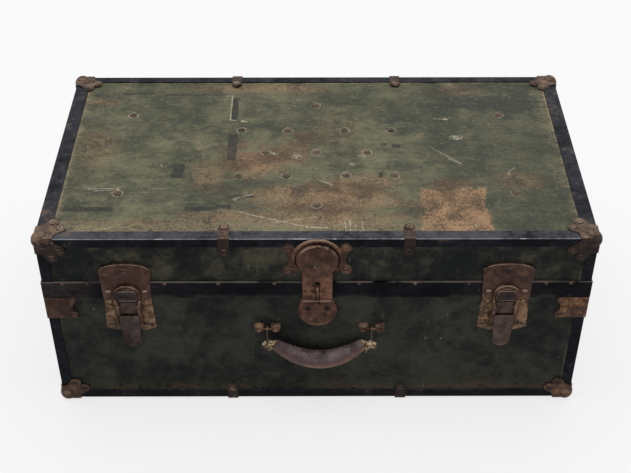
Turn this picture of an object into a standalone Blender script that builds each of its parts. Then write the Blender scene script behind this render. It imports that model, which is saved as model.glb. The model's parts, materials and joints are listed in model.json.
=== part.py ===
"""Army style footlocker: a plywood trunk with fibre bindings, steel corner guards, two draw latches,
a hasp lock, a leather front handle and a lid hung on two pinned hinges.

Lengths are in metres. The trunk is modelled about its own centre line, front towards -Y, and a root
empty then carries it so that the whole object stands centred on the origin.
"""

import math

import bmesh
import bpy
from mathutils import Matrix, Vector

MM = 0.001

# Trunk, measured over the fibre bindings
LENGTH = 787 * MM
DEPTH = 420 * MM
HEIGHT = 321 * MM
BASE_HEIGHT = 213 * MM
PANEL_THICKNESS = 8 * MM
SEAT_GAP = 0.3 * MM
PARTING_GAP = 0.5 * MM

# Fibre bindings
BINDING_THICKNESS = 1.5 * MM
BINDING_LEG = 16 * MM
BINDING_END_LEG = 22 * MM
BINDING_ROUND = 2 * MM

# Corner guards, measured from the guard's own outer corner
GUARD_THICKNESS = 1.2 * MM
GUARD_BALL_RADIUS = 13 * MM
GUARD_BALL_INSET = 9 * MM
GUARD_BALL_WALL = 1.5 * MM
GUARD_LOBE_FAR = 35.5 * MM
GUARD_LOBE_NEAR = 23.5 * MM
GUARD_LOBE_RADIUS = 8.5 * MM
GUARD_FLANK_FAR = 40 * MM
GUARD_FLANK_NEAR = 3 * MM
FOOT_DROP = 2.8 * MM

# Edge clips
CLIP_SHARE = 0.165
CLIP_WIDTH = 16 * MM
CLIP_THICKNESS = 1.2 * MM
CLIP_RIVET_REACH = 24.5 * MM
CLIP_LOBE_RADIUS = 7.5 * MM
CLIP_BOSS_RISE = 0.4 * MM

# Corner clamps just below the parting line
CLAMP_REACH = 46 * MM
CLAMP_HEIGHT = 39 * MM
CLAMP_THICKNESS = 1.2 * MM
CLAMP_TOP_DROP = 3 * MM
CLAMP_TAIL_RADIUS = 15 * MM
CLAMP_TAIL_DEPTH = 6 * MM

# Valance, the black steel strip round the lid's lower edge
VALANCE_HEIGHT = 29 * MM
VALANCE_OVERLAP = 1.5 * MM
VALANCE_STAND = 3 * MM
VALANCE_SHEET = 1.2 * MM
VALANCE_RETURN = 40 * MM

# Draw latches; heights are from the parting line, stand is out from the front panel
LATCH_END = 120.5 * MM
LATCH_PLATE = 1.5 * MM
LATCH_PLATE_TOP = -3 * MM
LATCH_PLATE_CORNER = -61 * MM
LATCH_PLATE_BOTTOM = -70 * MM
LATCH_PLATE_TOP_HALF = 34 * MM
LATCH_PLATE_CORNER_HALF = 36.5 * MM
KEEPER_CORNER = 50 * MM
KEEPER_APEX = 63 * MM
KEEPER_BOTTOM_HALF = 34.5 * MM
KEEPER_CORNER_HALF = 36.5 * MM
KEEPER_SHEET = 1.5 * MM
NOTCH_HALF = 16 * MM
NOTCH_SPRING = 6 * MM
NOTCH_RIDGE = 2.6 * MM
NOTCH_RIDGE_STAND = 8.5 * MM
STEM_HALF = 12.6 * MM
STEM_STAND = 3.5 * MM
STEM_THICKNESS = 2 * MM
HEAD_HALF = 15.4 * MM
HEAD_BOTTOM = -3.2 * MM
HEAD_TOP = 18.4 * MM
HEAD_BULGE = 9.6 * MM
HEAD_BACK = 4 * MM
SIDE_PLAY = 0.3 * MM
EAR_THICKNESS = 1.5 * MM
CHEEK_THICKNESS = 3.4 * MM
CHEEK_TOP = -6 * MM
CHEEK_FOOT = -46 * MM
CHEEK_STAND = 10.6 * MM
LEVER_PIVOT_HEIGHT = -17 * MM
LEVER_PIVOT_STAND = 6.6 * MM
LEVER_HUB_RADIUS = 3.8 * MM
LINK_PIVOT_HEIGHT = -29 * MM
LINK_PIN_RADIUS = 1.2 * MM
TRUNNION_RADIUS = 1.5 * MM
RUNNING_PLAY = 0.3 * MM
TONGUE_TOP = -33 * MM
TONGUE_TIP = -94 * MM
TONGUE_TIP_HALF = 12.6 * MM
TONGUE_STAND = 7 * MM
TONGUE_THICKNESS = 2 * MM

# Hasp lock
LOCK_X = 1 * MM
LOCK_CENTRE_SHARE = 0.648
RING_SHARE = 0.3426
RING_WIDTH = 6 * MM
RING_STAND = 5 * MM
RING_END_SHARE = 0.176
RECEIVER_SHEET = 2.2 * MM
LOCK_EAR_OUT = 3.5 * MM
LOCK_EAR_SHARE = 0.185
LOCK_EAR_RADIUS = 8.5 * MM
HASP_INSET = 1.5 * MM
HASP_STAND = 5.4 * MM
HASP_CASE = 4 * MM
HASP_SHEET = 2 * MM
HASP_CHAMFER = 1.8 * MM
HASP_NECK_SHARE = 0.2
HASP_SLOT_HALF = 3.6 * MM
HASP_SLOT_SHARE = 0.3056
HASP_PIN_HEIGHT = -6 * MM
HASP_PIN_RADIUS = 1.2 * MM
HASP_KNUCKLE_RADIUS = 2.6 * MM
LOCK_PLATE_SWELL = 4.3 * MM
LOCK_PLATE_CENTRE = -28.5 * MM
LOCK_PLATE_STAND = 5.4 * MM
LOCK_LUG = 2.8 * MM
LOCK_PLATE_CHAMFER = 1.5 * MM
POCKET_DROP = 5 * MM
STAPLE_HALF = 1.6 * MM
STAPLE_SHARE = 0.1667
STAPLE_EYE_RADIUS = 4 * MM
STAPLE_BAR = 2.5 * MM
STAPLE_EYE_REACH = 8.6 * MM
STAPLE_TAB_SHEET = 1.4 * MM
PLUG_DROP = 7 * MM
PLUG_RADIUS = 4.6 * MM
PLUG_RISE = 0.4 * MM
KEYWAY_WIDTH = 1.2 * MM
KEYWAY_LENGTH = 6 * MM
KEYWAY_DEPTH = 2.4 * MM

# Front handle
HANDLE_X = 4 * MM
HANDLE_HALF_SPAN = 77 * MM
LOOP_HEIGHT = -62 * MM
LOOP_DOME_RADIUS = 8.6 * MM
LOOP_DOME_OFFSET = 12.2 * MM
LOOP_DOME_STAND = 7.6 * MM
BRIDGE_STAND = 6 * MM
BRIDGE_THICKNESS = 1.6 * MM
BRIDGE_HALF = 2 * MM
WIRE_RADIUS = 1.2 * MM
LINK_BEND_RADIUS = 4.2 * MM
EYE_DROP = 24 * MM
EYE_STAND_OUT = 6 * MM
GRIP_RADIUS = 15.5 * MM
GRIP_SHOULDER_RADIUS = 9 * MM
GRIP_NECK_RADIUS = 2.4 * MM
GRIP_KNOB_RADIUS = 5.5 * MM
GRIP_KNOB_LENGTH = 6 * MM
GRIP_SAG = 30 * MM
GRIP_SHOULDER_BACK = 6 * MM
GRIP_WALL_GAP = 1 * MM

# Hinges on the back
HINGE_END = 157.5 * MM
HINGE_WIDTH = 64 * MM
HINGE_LEAF = 42 * MM
HINGE_SHEET = 1.6 * MM
HINGE_KNUCKLE_RADIUS = 4 * MM
HINGE_PIN_RADIUS = 1.8 * MM
HINGE_WALL_GAP = 0.6 * MM

# Places that follow from the sizes above
LID_HEIGHT = HEIGHT - BASE_HEIGHT
CLIP_X = LENGTH * CLIP_SHARE
LATCH_X = LENGTH / 2 - LATCH_END
HINGE_X = LENGTH / 2 - HINGE_END
LOCK_CENTRE = LID_HEIGHT * LOCK_CENTRE_SHARE
RING_OUTER = LID_HEIGHT * RING_SHARE
RING_INNER = RING_OUTER - RING_WIDTH
RING_END_DROP = LID_HEIGHT * RING_END_SHARE
LOCK_EAR_X = RING_OUTER + LOCK_EAR_OUT
LOCK_EAR_RISE = LID_HEIGHT * LOCK_EAR_SHARE
HASP_RADIUS = RING_INNER - HASP_INSET
HASP_NECK_HALF = LID_HEIGHT * HASP_NECK_SHARE
HASP_SLOT_TOP = LID_HEIGHT * HASP_SLOT_SHARE
STAPLE_HEIGHT = LID_HEIGHT * STAPLE_SHARE
BASE_Z = FOOT_DROP + GUARD_THICKNESS + SEAT_GAP
PARTING_Z = BASE_Z + BASE_HEIGHT
TOP_Z = BASE_Z + HEIGHT
FACE_X = LENGTH / 2 - BINDING_THICKNESS - SEAT_GAP
FACE_Y = DEPTH / 2 - BINDING_THICKNESS - SEAT_GAP
FACE_TOP = TOP_Z - BINDING_THICKNESS - SEAT_GAP
FACE_BOTTOM = BASE_Z + BINDING_THICKNESS + SEAT_GAP
VALANCE_BOTTOM = PARTING_Z - VALANCE_OVERLAP
VALANCE_TOP = VALANCE_BOTTOM + VALANCE_HEIGHT
BINDING_OUT = BINDING_THICKNESS + SEAT_GAP
OUTER_X = LENGTH / 2 + SEAT_GAP
OUTER_Y = DEPTH / 2 + SEAT_GAP
HINGE_AXIS_Y = FACE_Y + HINGE_WALL_GAP + HINGE_KNUCKLE_RADIUS
HINGE_AXIS_Z = PARTING_Z + PARTING_GAP / 2
LINK_PIVOT_STAND = STEM_STAND + STEM_THICKNESS / 2
EAR_INNER = STEM_HALF + SIDE_PLAY
EAR_OUTER = EAR_INNER + EAR_THICKNESS
CHEEK_INNER = EAR_OUTER + SIDE_PLAY
CHEEK_OUTER = CHEEK_INNER + CHEEK_THICKNESS
HASP_PIN_STAND = HASP_STAND + HASP_SHEET / 2
LOCK_PLATE_HALF = HASP_NECK_HALF + SIDE_PLAY + LOCK_LUG
LOCK_PLATE_RADIUS = LOCK_PLATE_HALF + LOCK_PLATE_SWELL
EYE_STAND = BRIDGE_STAND + EYE_STAND_OUT
EYE_HEIGHT = LOOP_HEIGHT - EYE_DROP
GRIP_MID_STAND = GRIP_RADIUS + GRIP_WALL_GAP
FRONT_REACH = FACE_Y + GRIP_MID_STAND + GRIP_RADIUS
BACK_REACH = HINGE_AXIS_Y + HINGE_KNUCKLE_RADIUS
CENTRE_Y = (FRONT_REACH - BACK_REACH) / 2

ROUND_STEPS = 16
PAST = 5 * MM


def material(name, colour, roughness, metallic=0.0):
    made = bpy.data.materials.new(name)
    made.use_nodes = True
    shader = made.node_tree.nodes["Principled BSDF"]
    shader.inputs["Base Color"].default_value = (*colour, 1.0)
    shader.inputs["Roughness"].default_value = roughness
    shader.inputs["Metallic"].default_value = metallic
    return made


def arc(centre, radius, start, end, steps):
    """Points on an arc, angles in degrees, both ends included."""
    points = []
    for i in range(steps + 1):
        angle = math.radians(start + (end - start) * i / steps)
        points.append((centre[0] + radius * math.cos(angle), centre[1] + radius * math.sin(angle)))
    return points


def circle(centre, radius, steps=ROUND_STEPS):
    return arc(centre, radius, 0, 360 - 360 / steps, steps - 1)


def apex_arc(half_width, corner, apex, steps=8):
    """A shallow arc from (half_width, corner) over (0, apex) to (-half_width, corner)."""
    rise = apex - corner
    radius = (half_width ** 2 + rise ** 2) / (2 * abs(rise))
    centre = apex - math.copysign(radius, rise)
    start = math.degrees(math.atan2(corner - centre, half_width))
    sweep = (180 - 2 * start) if rise > 0 else (-180 - 2 * start)
    return arc((0, centre), radius, start, start + sweep, steps)


def on_front(u, v, w):
    """Across, up from the parting line, out from the front panel."""
    return Vector((u, -FACE_Y - w, PARTING_Z + v))


def on_front_side(u, v, w):
    """A side profile on the front: out from the panel, up from the parting line, across."""
    return Vector((w, -FACE_Y - u, PARTING_Z + v))


def on_back_side(u, v, w):
    """A side profile on the back: out from the panel, up from the parting line, across."""
    return Vector((w, FACE_Y + u, PARTING_Z + v))


def on_plan(u, v, w):
    return Vector((u, v, w))


def object_from(bm, name="shape"):
    bmesh.ops.recalc_face_normals(bm, faces=bm.faces)
    mesh = bpy.data.meshes.new(name)
    bm.to_mesh(mesh)
    bm.free()
    made = bpy.data.objects.new(name, mesh)
    bpy.context.scene.collection.objects.link(made)
    return made


def prism(outline, frame, low, high, chamfer=0.0):
    """An outline extruded from depth low to depth high, with an optional chamfer round the high face."""
    bm = bmesh.new()
    face = bm.faces.new([bm.verts.new(frame(u, v, low)) for u, v in outline])
    grown = bmesh.ops.extrude_face_region(bm, geom=[face])["geom"]
    top = [g for g in grown if isinstance(g, bmesh.types.BMVert)]
    bmesh.ops.translate(bm, verts=top, vec=frame(0, 0, high) - frame(0, 0, low))
    bmesh.ops.recalc_face_normals(bm, faces=bm.faces)
    if chamfer:
        rim = [e for e in bm.edges if e.verts[0] in top and e.verts[1] in top]
        bmesh.ops.bevel(bm, geom=rim, offset=chamfer, segments=1, affect="EDGES", profile=0.5, material=-1)
    return object_from(bm)


def box(low, high):
    bm = bmesh.new()
    bmesh.ops.create_cube(bm, size=1.0)
    size = Vector(high) - Vector(low)
    bmesh.ops.scale(bm, vec=size, verts=bm.verts)
    bmesh.ops.translate(bm, vec=(Vector(high) + Vector(low)) / 2, verts=bm.verts)
    return object_from(bm)


def rounded_box(low, high, radius):
    """A box with every edge but those of its lowest face rounded."""
    shape = box(low, high)
    bm = bmesh.new()
    bm.from_mesh(shape.data)
    floor = min(v.co.z for v in bm.verts)
    kept = [e for e in bm.edges if max(v.co.z for v in e.verts) > floor + MM]
    bmesh.ops.bevel(bm, geom=kept, offset=radius, segments=2, affect="EDGES", profile=0.5, material=-1)
    bm.to_mesh(shape.data)
    bm.free()
    return shape


def front_box(x0, x1, v0, v1, w0, w1):
    """A box on the front: across, up from the parting line, out from the panel."""
    return prism([(x0, v0), (x1, v0), (x1, v1), (x0, v1)], on_front, w0, w1)


def combine(shape, other, operation):
    """Joins or cuts two shapes and drops the second."""
    step = shape.modifiers.new(operation, "BOOLEAN")
    step.operation = operation
    step.solver = "EXACT"
    step.object = other
    bpy.context.view_layer.update()
    graph = bpy.context.evaluated_depsgraph_get()
    result = bpy.data.meshes.new_from_object(shape.evaluated_get(graph))
    shape.modifiers.clear()
    shape.data = result
    bpy.data.objects.remove(other, do_unlink=True)
    return shape


def cut(shape, *others):
    for other in others:
        combine(shape, other, "DIFFERENCE")
    return shape


def join(shape, *others):
    for other in others:
        combine(shape, other, "UNION")
    return shape


def slice_corner(shape, point, normal):
    """Takes off what lies beyond a plane and closes the cut."""
    bm = bmesh.new()
    bm.from_mesh(shape.data)
    geom = list(bm.verts) + list(bm.edges) + list(bm.faces)
    bmesh.ops.bisect_plane(bm, geom=geom, plane_co=point, plane_no=normal, clear_outer=True)
    bmesh.ops.holes_fill(bm, edges=[e for e in bm.edges if e.is_boundary], sides=0)
    bmesh.ops.recalc_face_normals(bm, faces=bm.faces)
    bm.to_mesh(shape.data)
    bm.free()
    return shape


def empty(name, place, parent=None):
    made = bpy.data.objects.new(name, None)
    bpy.context.scene.collection.objects.link(made)
    made.empty_display_size = 20 * MM
    made["place"] = place
    made.parent = parent
    made.location = Vector(place) - (Vector(parent["place"]) if parent else Vector())
    return made


def part(shape, name, finish, parent, mirror=(1, 1, 1), smooth=True):
    """Names a shape, gives it its finish and hangs it under the empty that carries it."""
    shape.name = name
    shape.data.name = name
    shape.parent = parent
    shape.location = -Vector(parent["place"])
    shape.scale = mirror
    shape.data.materials.clear()
    shape.data.materials.append(finish)
    if smooth:
        shape.data.shade_smooth()
        shape.data.set_sharp_from_angle(angle=math.radians(35))
    return shape


def copy_of(shape):
    made = bpy.data.objects.new(shape.name, shape.data.copy())
    bpy.context.scene.collection.objects.link(made)
    return made


def moved(shape, dx):
    shape.data.transform(Matrix.Translation((dx, 0, 0)))
    return shape


SIDES = {"left": -1, "right": 1}
ENDS = {"front": -1, "back": 1}


def base_panels(finish, root):
    low = FACE_BOTTOM + PANEL_THICKNESS + SEAT_GAP
    inner_y = FACE_Y - PANEL_THICKNESS
    floor = box((-FACE_X, -FACE_Y, FACE_BOTTOM), (FACE_X, FACE_Y, FACE_BOTTOM + PANEL_THICKNESS))
    part(floor, "base_bottom_panel", finish, root)
    wall_set("base", low, PARTING_Z, inner_y, finish, root)


def wall_set(prefix, low, high, inner_y, finish, carrier):
    """Front and back boards run the full length, the end boards stand between them."""
    for end, sign in ENDS.items():
        near, far = sorted((sign * inner_y, sign * FACE_Y))
        part(box((-FACE_X, near, low), (FACE_X, far, high)), f"{prefix}_{end}_panel", finish, carrier)
    for side, sign in SIDES.items():
        near, far = sorted((sign * (FACE_X - PANEL_THICKNESS), sign * FACE_X))
        reach = inner_y - SEAT_GAP
        part(box((near, -reach, low), (far, reach, high)), f"{prefix}_{side}_panel", finish, carrier)


def lid_panels(finish, lid):
    high = FACE_TOP - PANEL_THICKNESS - SEAT_GAP
    top = box((-FACE_X, -FACE_Y, FACE_TOP - PANEL_THICKNESS), (FACE_X, FACE_Y, FACE_TOP))
    part(top, "lid_top_panel", finish, lid)
    wall_set("lid", PARTING_Z + PARTING_GAP, high, FACE_Y - PANEL_THICKNESS, finish, lid)


def binding_frame(leg_end):
    """The lid's bound edges, open sides down: a ring round the top with a leg down each corner."""
    x, y, t = LENGTH / 2, DEPTH / 2, BINDING_THICKNESS
    frame = rounded_box((-x, -y, leg_end), (x, y, TOP_Z), BINDING_ROUND)
    ball = GUARD_BALL_INSET - GUARD_THICKNESS - SEAT_GAP
    reach = GUARD_BALL_RADIUS - GUARD_BALL_WALL - SEAT_GAP
    for sx in (-1, 1):
        for sy in (-1, 1):
            way = Vector((sx, sy, 1)).normalized()
            centre = Vector((sx * (x - ball), sy * (y - ball), TOP_Z - ball))
            slice_corner(frame, centre + way * reach, way)
    cut(frame, box((t - x, t - y, leg_end - PAST), (x - t, y - t, TOP_Z - t)))
    end, leg, under = x - BINDING_END_LEG, BINDING_LEG, TOP_Z - BINDING_LEG
    cut(frame, box((-end, leg - y, under), (end, y - leg, TOP_Z + PAST)))
    cut(frame, box((leg - x, -y - PAST, leg_end - PAST), (x - leg, y + PAST, under)))
    cut(frame, box((-x - PAST, leg - y, leg_end - PAST), (x + PAST, y - leg, under)))
    return frame


def bindings(finish, root, lid):
    part(binding_frame(VALANCE_TOP + SEAT_GAP), "lid_binding", finish, lid)
    leg_end = TOP_Z + BASE_Z - (VALANCE_BOTTOM - SEAT_GAP)
    base = binding_frame(leg_end)
    base.data.transform(Matrix.Translation((0, 0, TOP_Z + BASE_Z)) @ Matrix.Diagonal((1, 1, -1, 1)))
    base.data.flip_normals()
    part(base, "base_binding", finish, root)


def paw_cutter(frame, span):
    """All of a guard's square face that its two lobed paw leaves bare."""
    far, near, r = GUARD_LOBE_FAR, GUARD_LOBE_NEAR, GUARD_LOBE_RADIUS
    flank_x, flank_z = GUARD_FLANK_FAR, GUARD_FLANK_NEAR
    flank_r = math.hypot(flank_x - far, near - flank_z) - r
    to_lobe = math.degrees(math.atan2(near - flank_z, far - flank_x))
    start = 180 + math.degrees(math.asin(min(1, (flank_z + GUARD_THICKNESS) / flank_r)))
    half_gap = (far - near) / math.sqrt(2)
    notch = 135 - math.degrees(math.acos(min(1, half_gap / r)))
    run = arc((flank_x, flank_z), flank_r, start, to_lobe, 3)
    run += arc((far, near), r, to_lobe - 180, notch, 5)[1:]
    notch_point = sum(run[-1]) / 2
    run[-1] = (notch_point, notch_point)
    run += [(b, a) for a, b in reversed(run[:-1])]
    edge = run[0][0]
    outline = [(edge, -PAST)] + run + [(-PAST, edge), (-PAST, span), (span, span), (span, -PAST)]
    return prism(outline, frame, -PAST, GUARD_THICKNESS + PAST)


def corner_guard(foot):
    """A guard for the corner at the origin that opens towards +X, +Y and +Z."""
    span = GUARD_LOBE_FAR + GUARD_LOBE_RADIUS + PAST
    centre = Vector((1, 1, 1)) * GUARD_BALL_INSET
    way = Vector((-1, -1, -1)).normalized()
    guard = box((0, 0, 0), (span, span, span))
    bm = bmesh.new()
    bm.from_mesh(guard.data)
    edges = [e for e in bm.edges if sum(max(v.co[k] for v in e.verts) < MM for k in range(3)) == 2]
    bmesh.ops.bevel(bm, geom=edges, offset=BINDING_ROUND, segments=2, affect="EDGES", profile=0.5, material=-1)
    bm.to_mesh(guard.data)
    bm.free()
    slice_corner(guard, centre + way * (GUARD_BALL_RADIUS - GUARD_BALL_WALL / 2), way)
    bm = bmesh.new()
    bmesh.ops.create_uvsphere(bm, u_segments=16, v_segments=10, radius=GUARD_BALL_RADIUS)
    bmesh.ops.translate(bm, vec=centre, verts=bm.verts)
    join(guard, object_from(bm))
    hollow = box([GUARD_THICKNESS] * 3, [span + PAST] * 3)
    slice_corner(hollow, centre + way * (GUARD_BALL_RADIUS - GUARD_BALL_WALL), way)
    cut(guard, hollow)
    cut(guard, paw_cutter(lambda u, v, w: Vector((u, w, v)), span + PAST))
    cut(guard, paw_cutter(lambda u, v, w: Vector((w, u, v)), span + PAST))
    cut(guard, paw_cutter(lambda u, v, w: Vector((u, v, w)), span + PAST))
    if foot:
        slice_corner(guard, Vector((0, 0, -FOOT_DROP)), Vector((0, 0, -1)))
    return guard


def corner_guards(finish, root, lid):
    corner_x = OUTER_X + GUARD_THICKNESS
    corner_y = OUTER_Y + GUARD_THICKNESS
    levels = {"base": (BASE_Z - SEAT_GAP - GUARD_THICKNESS, 1, root),
              "lid": (TOP_Z + SEAT_GAP + GUARD_THICKNESS, -1, lid)}
    for level, (z, up, carrier) in levels.items():
        pattern = corner_guard(foot=level == "base")
        for end, sy in ENDS.items():
            for side, sx in SIDES.items():
                guard = copy_of(pattern)
                part(guard, f"{level}_corner_guard_{end}_{side}", finish, carrier, (-sx, -sy, up))
                guard.location += Vector((sx * corner_x, sy * corner_y, z))
        bpy.data.objects.remove(pattern, do_unlink=True)


def edge_clip():
    """A strap over the edge at the origin, along X, with a riveted lobe on the +Y and the +Z leg."""
    t, reach, half = CLIP_THICKNESS, CLIP_RIVET_REACH, CLIP_WIDTH / 2
    bend = arc((BINDING_ROUND, BINDING_ROUND), BINDING_ROUND, 270, 180, 3)
    outline = [(reach, t), (reach, 0)] + bend + [(0, reach), (t, reach), (t, t)]
    clip = prism(outline, lambda u, v, w: Vector((w, u, v)), -half, half)
    seat = t + BINDING_THICKNESS + SEAT_GAP
    lobe = circle((0, reach), CLIP_LOBE_RADIUS)
    past_binding = t + SEAT_GAP + BINDING_LEG + SEAT_GAP
    for frame in (lambda u, v, w: Vector((u, w, v)), lambda u, v, w: Vector((u, v, w))):
        boss = prism(lobe, frame, -CLIP_BOSS_RISE, seat)
        clear = [(-half - PAST, 0), (half + PAST, 0), (half + PAST, past_binding), (-half - PAST, past_binding)]
        cut(boss, prism(clear, frame, t, seat + PAST))
        join(clip, boss)
    return clip


def edge_clips(finish, root, lid):
    pattern = edge_clip()
    edge_y = OUTER_Y + CLIP_THICKNESS
    levels = {"base": (BASE_Z - SEAT_GAP - CLIP_THICKNESS, 1, root),
              "lid": (TOP_Z + SEAT_GAP + CLIP_THICKNESS, -1, lid)}
    for level, (z, up, carrier) in levels.items():
        for end, sy in ENDS.items():
            for side, sx in SIDES.items():
                clip = copy_of(pattern)
                part(clip, f"{level}_edge_clip_{end}_{side}", finish, carrier, (1, -sy, up))
                clip.location += Vector((sx * CLIP_X, sy * edge_y, z))
    bpy.data.objects.remove(pattern, do_unlink=True)


def corner_clamp():
    """A fishtailed plate round the upright edge at the origin, its legs along +X and +Y, hanging down."""
    t, reach = CLAMP_THICKNESS, CLAMP_REACH
    seat = t + BINDING_OUT
    step = BINDING_LEG + SEAT_GAP + t + SEAT_GAP
    bend = arc((BINDING_ROUND, BINDING_ROUND), BINDING_ROUND, 180, 270, 3)
    outline = [(0, reach)] + bend + [(reach, 0), (reach, seat), (step, seat), (step, t), (t, t)]
    outline += [(t, step), (seat, step), (seat, reach)]
    clamp = prism(outline, on_plan, -CLAMP_HEIGHT, 0)
    tail = circle((reach + CLAMP_TAIL_RADIUS - CLAMP_TAIL_DEPTH, -CLAMP_HEIGHT / 2), CLAMP_TAIL_RADIUS)
    cut(clamp, prism(tail, lambda u, v, w: Vector((u, w, v)), -PAST, seat + PAST))
    cut(clamp, prism(tail, lambda u, v, w: Vector((w, u, v)), -PAST, seat + PAST))
    return clamp


def corner_clamps(finish, root):
    pattern = corner_clamp()
    corner = Vector((OUTER_X + CLAMP_THICKNESS, OUTER_Y + CLAMP_THICKNESS, PARTING_Z - CLAMP_TOP_DROP))
    for end, sy in ENDS.items():
        for side, sx in SIDES.items():
            clamp = copy_of(pattern)
            part(clamp, f"base_corner_clamp_{end}_{side}", finish, root, (-sx, -sy, 1))
            clamp.location += Vector((sx * corner.x, sy * corner.y, corner.z))
    bpy.data.objects.remove(pattern, do_unlink=True)


def valance(finish, lid):
    """A strip with a turned-in upper edge, along the front and ends and a little way round the back."""
    x, y = FACE_X + VALANCE_STAND, FACE_Y + VALANCE_STAND
    low, high, t = VALANCE_BOTTOM, VALANCE_TOP, VALANCE_SHEET
    strip = box((-x, -y, low), (x, y, high))
    cut(strip, box((t - x, t - y, low - PAST), (x - t, y - t, high - t)))
    seat_x, seat_y = FACE_X + SEAT_GAP, FACE_Y + SEAT_GAP
    cut(strip, box((-seat_x, -seat_y, low - PAST), (seat_x, seat_y, high + PAST)))
    window = x - VALANCE_RETURN
    cut(strip, box((-window, 0, low - PAST), (window, y + PAST, high + PAST)))
    part(strip, "lid_valance", finish, lid)


def keeper_outline(inset):
    bottom = -VALANCE_OVERLAP - (PAST if inset else 0)
    edge = [(KEEPER_BOTTOM_HALF - inset, bottom)]
    crown = apex_arc(KEEPER_CORNER_HALF - inset, KEEPER_CORNER - inset, KEEPER_APEX - inset)
    return edge + crown + [(-KEEPER_BOTTOM_HALF + inset, bottom)]


def notch_outline(half, foot):
    return [(half, foot)] + arc((0, NOTCH_SPRING), half, 0, 180, 10) + [(-half, foot)]


def latch_keeper():
    """The lid's plate: a dished sheet over the valance with a ridged arch open at its foot."""
    over = VALANCE_STAND + SEAT_GAP
    face = over + KEEPER_SHEET
    keeper = prism(keeper_outline(0), on_front, SEAT_GAP, face, chamfer=KEEPER_SHEET / 2)
    cut(keeper, prism(keeper_outline(KEEPER_SHEET), on_front, -PAST, over))
    rim = KEEPER_CORNER_HALF + PAST
    clear = VALANCE_TOP - PARTING_Z + SEAT_GAP
    cut(keeper, front_box(-rim, rim, -PAST, clear, -PAST, over))
    foot = -VALANCE_OVERLAP
    ridge = prism(notch_outline(NOTCH_HALF + NOTCH_RIDGE, foot), on_front, over + KEEPER_SHEET / 2,
                  NOTCH_RIDGE_STAND, chamfer=NOTCH_RIDGE / 2.5)
    join(keeper, ridge)
    cut(keeper, prism(notch_outline(NOTCH_HALF, foot - PAST), on_front, -PAST, NOTCH_RIDGE_STAND + PAST))
    return keeper


def latch_base():
    """The base's plate with the two cheeks that the lever turns in."""
    top = [(LATCH_PLATE_TOP_HALF, LATCH_PLATE_TOP)]
    bow = apex_arc(LATCH_PLATE_CORNER_HALF, LATCH_PLATE_CORNER, LATCH_PLATE_BOTTOM)
    outline = top + bow + [(-LATCH_PLATE_TOP_HALF, LATCH_PLATE_TOP)]
    plate = prism(outline, on_front, SEAT_GAP, SEAT_GAP + LATCH_PLATE, chamfer=LATCH_PLATE / 3)
    root = SEAT_GAP + LATCH_PLATE / 2
    brow = LEVER_PIVOT_HEIGHT - (CHEEK_TOP - LEVER_PIVOT_HEIGHT)
    profile = [(root, CHEEK_TOP), (LEVER_PIVOT_STAND, CHEEK_TOP)]
    profile += [(CHEEK_STAND, LEVER_PIVOT_HEIGHT + LEVER_HUB_RADIUS), (CHEEK_STAND, brow), (root, CHEEK_FOOT)]
    pivot = circle((LEVER_PIVOT_STAND, LEVER_PIVOT_HEIGHT), TRUNNION_RADIUS + RUNNING_PLAY)
    for sign in SIDES.values():
        near, far = sorted((sign * CHEEK_INNER, sign * CHEEK_OUTER))
        cheek = prism(profile, on_front_side, near, far)
        cut(cheek, prism(pivot, on_front_side, near - PAST, far + PAST))
        join(plate, cheek)
    return plate


def latch_lever():
    """The pull tongue with two ears, each with a trunnion for the cheek and a hole for the link pin."""
    back, face = TONGUE_STAND, TONGUE_STAND + TONGUE_THICKNESS
    tip = arc((0, TONGUE_TIP + TONGUE_TIP_HALF), TONGUE_TIP_HALF, 0, -180, 8)
    outline = [(EAR_OUTER, TONGUE_TOP)] + tip + [(-EAR_OUTER, TONGUE_TOP)]
    lever = prism(outline, on_front, back, face, chamfer=TONGUE_THICKNESS / 3)
    pivot = (LEVER_PIVOT_STAND, LEVER_PIVOT_HEIGHT)
    link = (LINK_PIVOT_STAND, LINK_PIVOT_HEIGHT)
    inside = LINK_PIVOT_STAND - LINK_PIN_RADIUS - SEAT_GAP / 2
    web = TONGUE_THICKNESS / 2
    ear_foot = 2 * TONGUE_TOP - LINK_PIVOT_HEIGHT
    profile = [(back + web, ear_foot), (back + web, TONGUE_TOP - web)]
    profile += arc(pivot, LEVER_HUB_RADIUS, -20, 200, 8)
    profile += [(inside - web, LINK_PIVOT_HEIGHT), (inside - web / 2, LINK_PIVOT_HEIGHT - 2 * web)]
    link_hole = circle(link, LINK_PIN_RADIUS + SEAT_GAP)
    for sign in SIDES.values():
        near, far = sorted((sign * EAR_INNER, sign * EAR_OUTER))
        ear = prism(profile, on_front_side, near, far)
        cut(ear, prism(link_hole, on_front_side, near - PAST, far + PAST))
        join(lever, ear)
        near, far = sorted((sign * (EAR_INNER + EAR_THICKNESS / 2), sign * (CHEEK_OUTER - SEAT_GAP)))
        join(lever, prism(circle(pivot, TRUNNION_RADIUS), on_front_side, near, far))
    return lever


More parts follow.
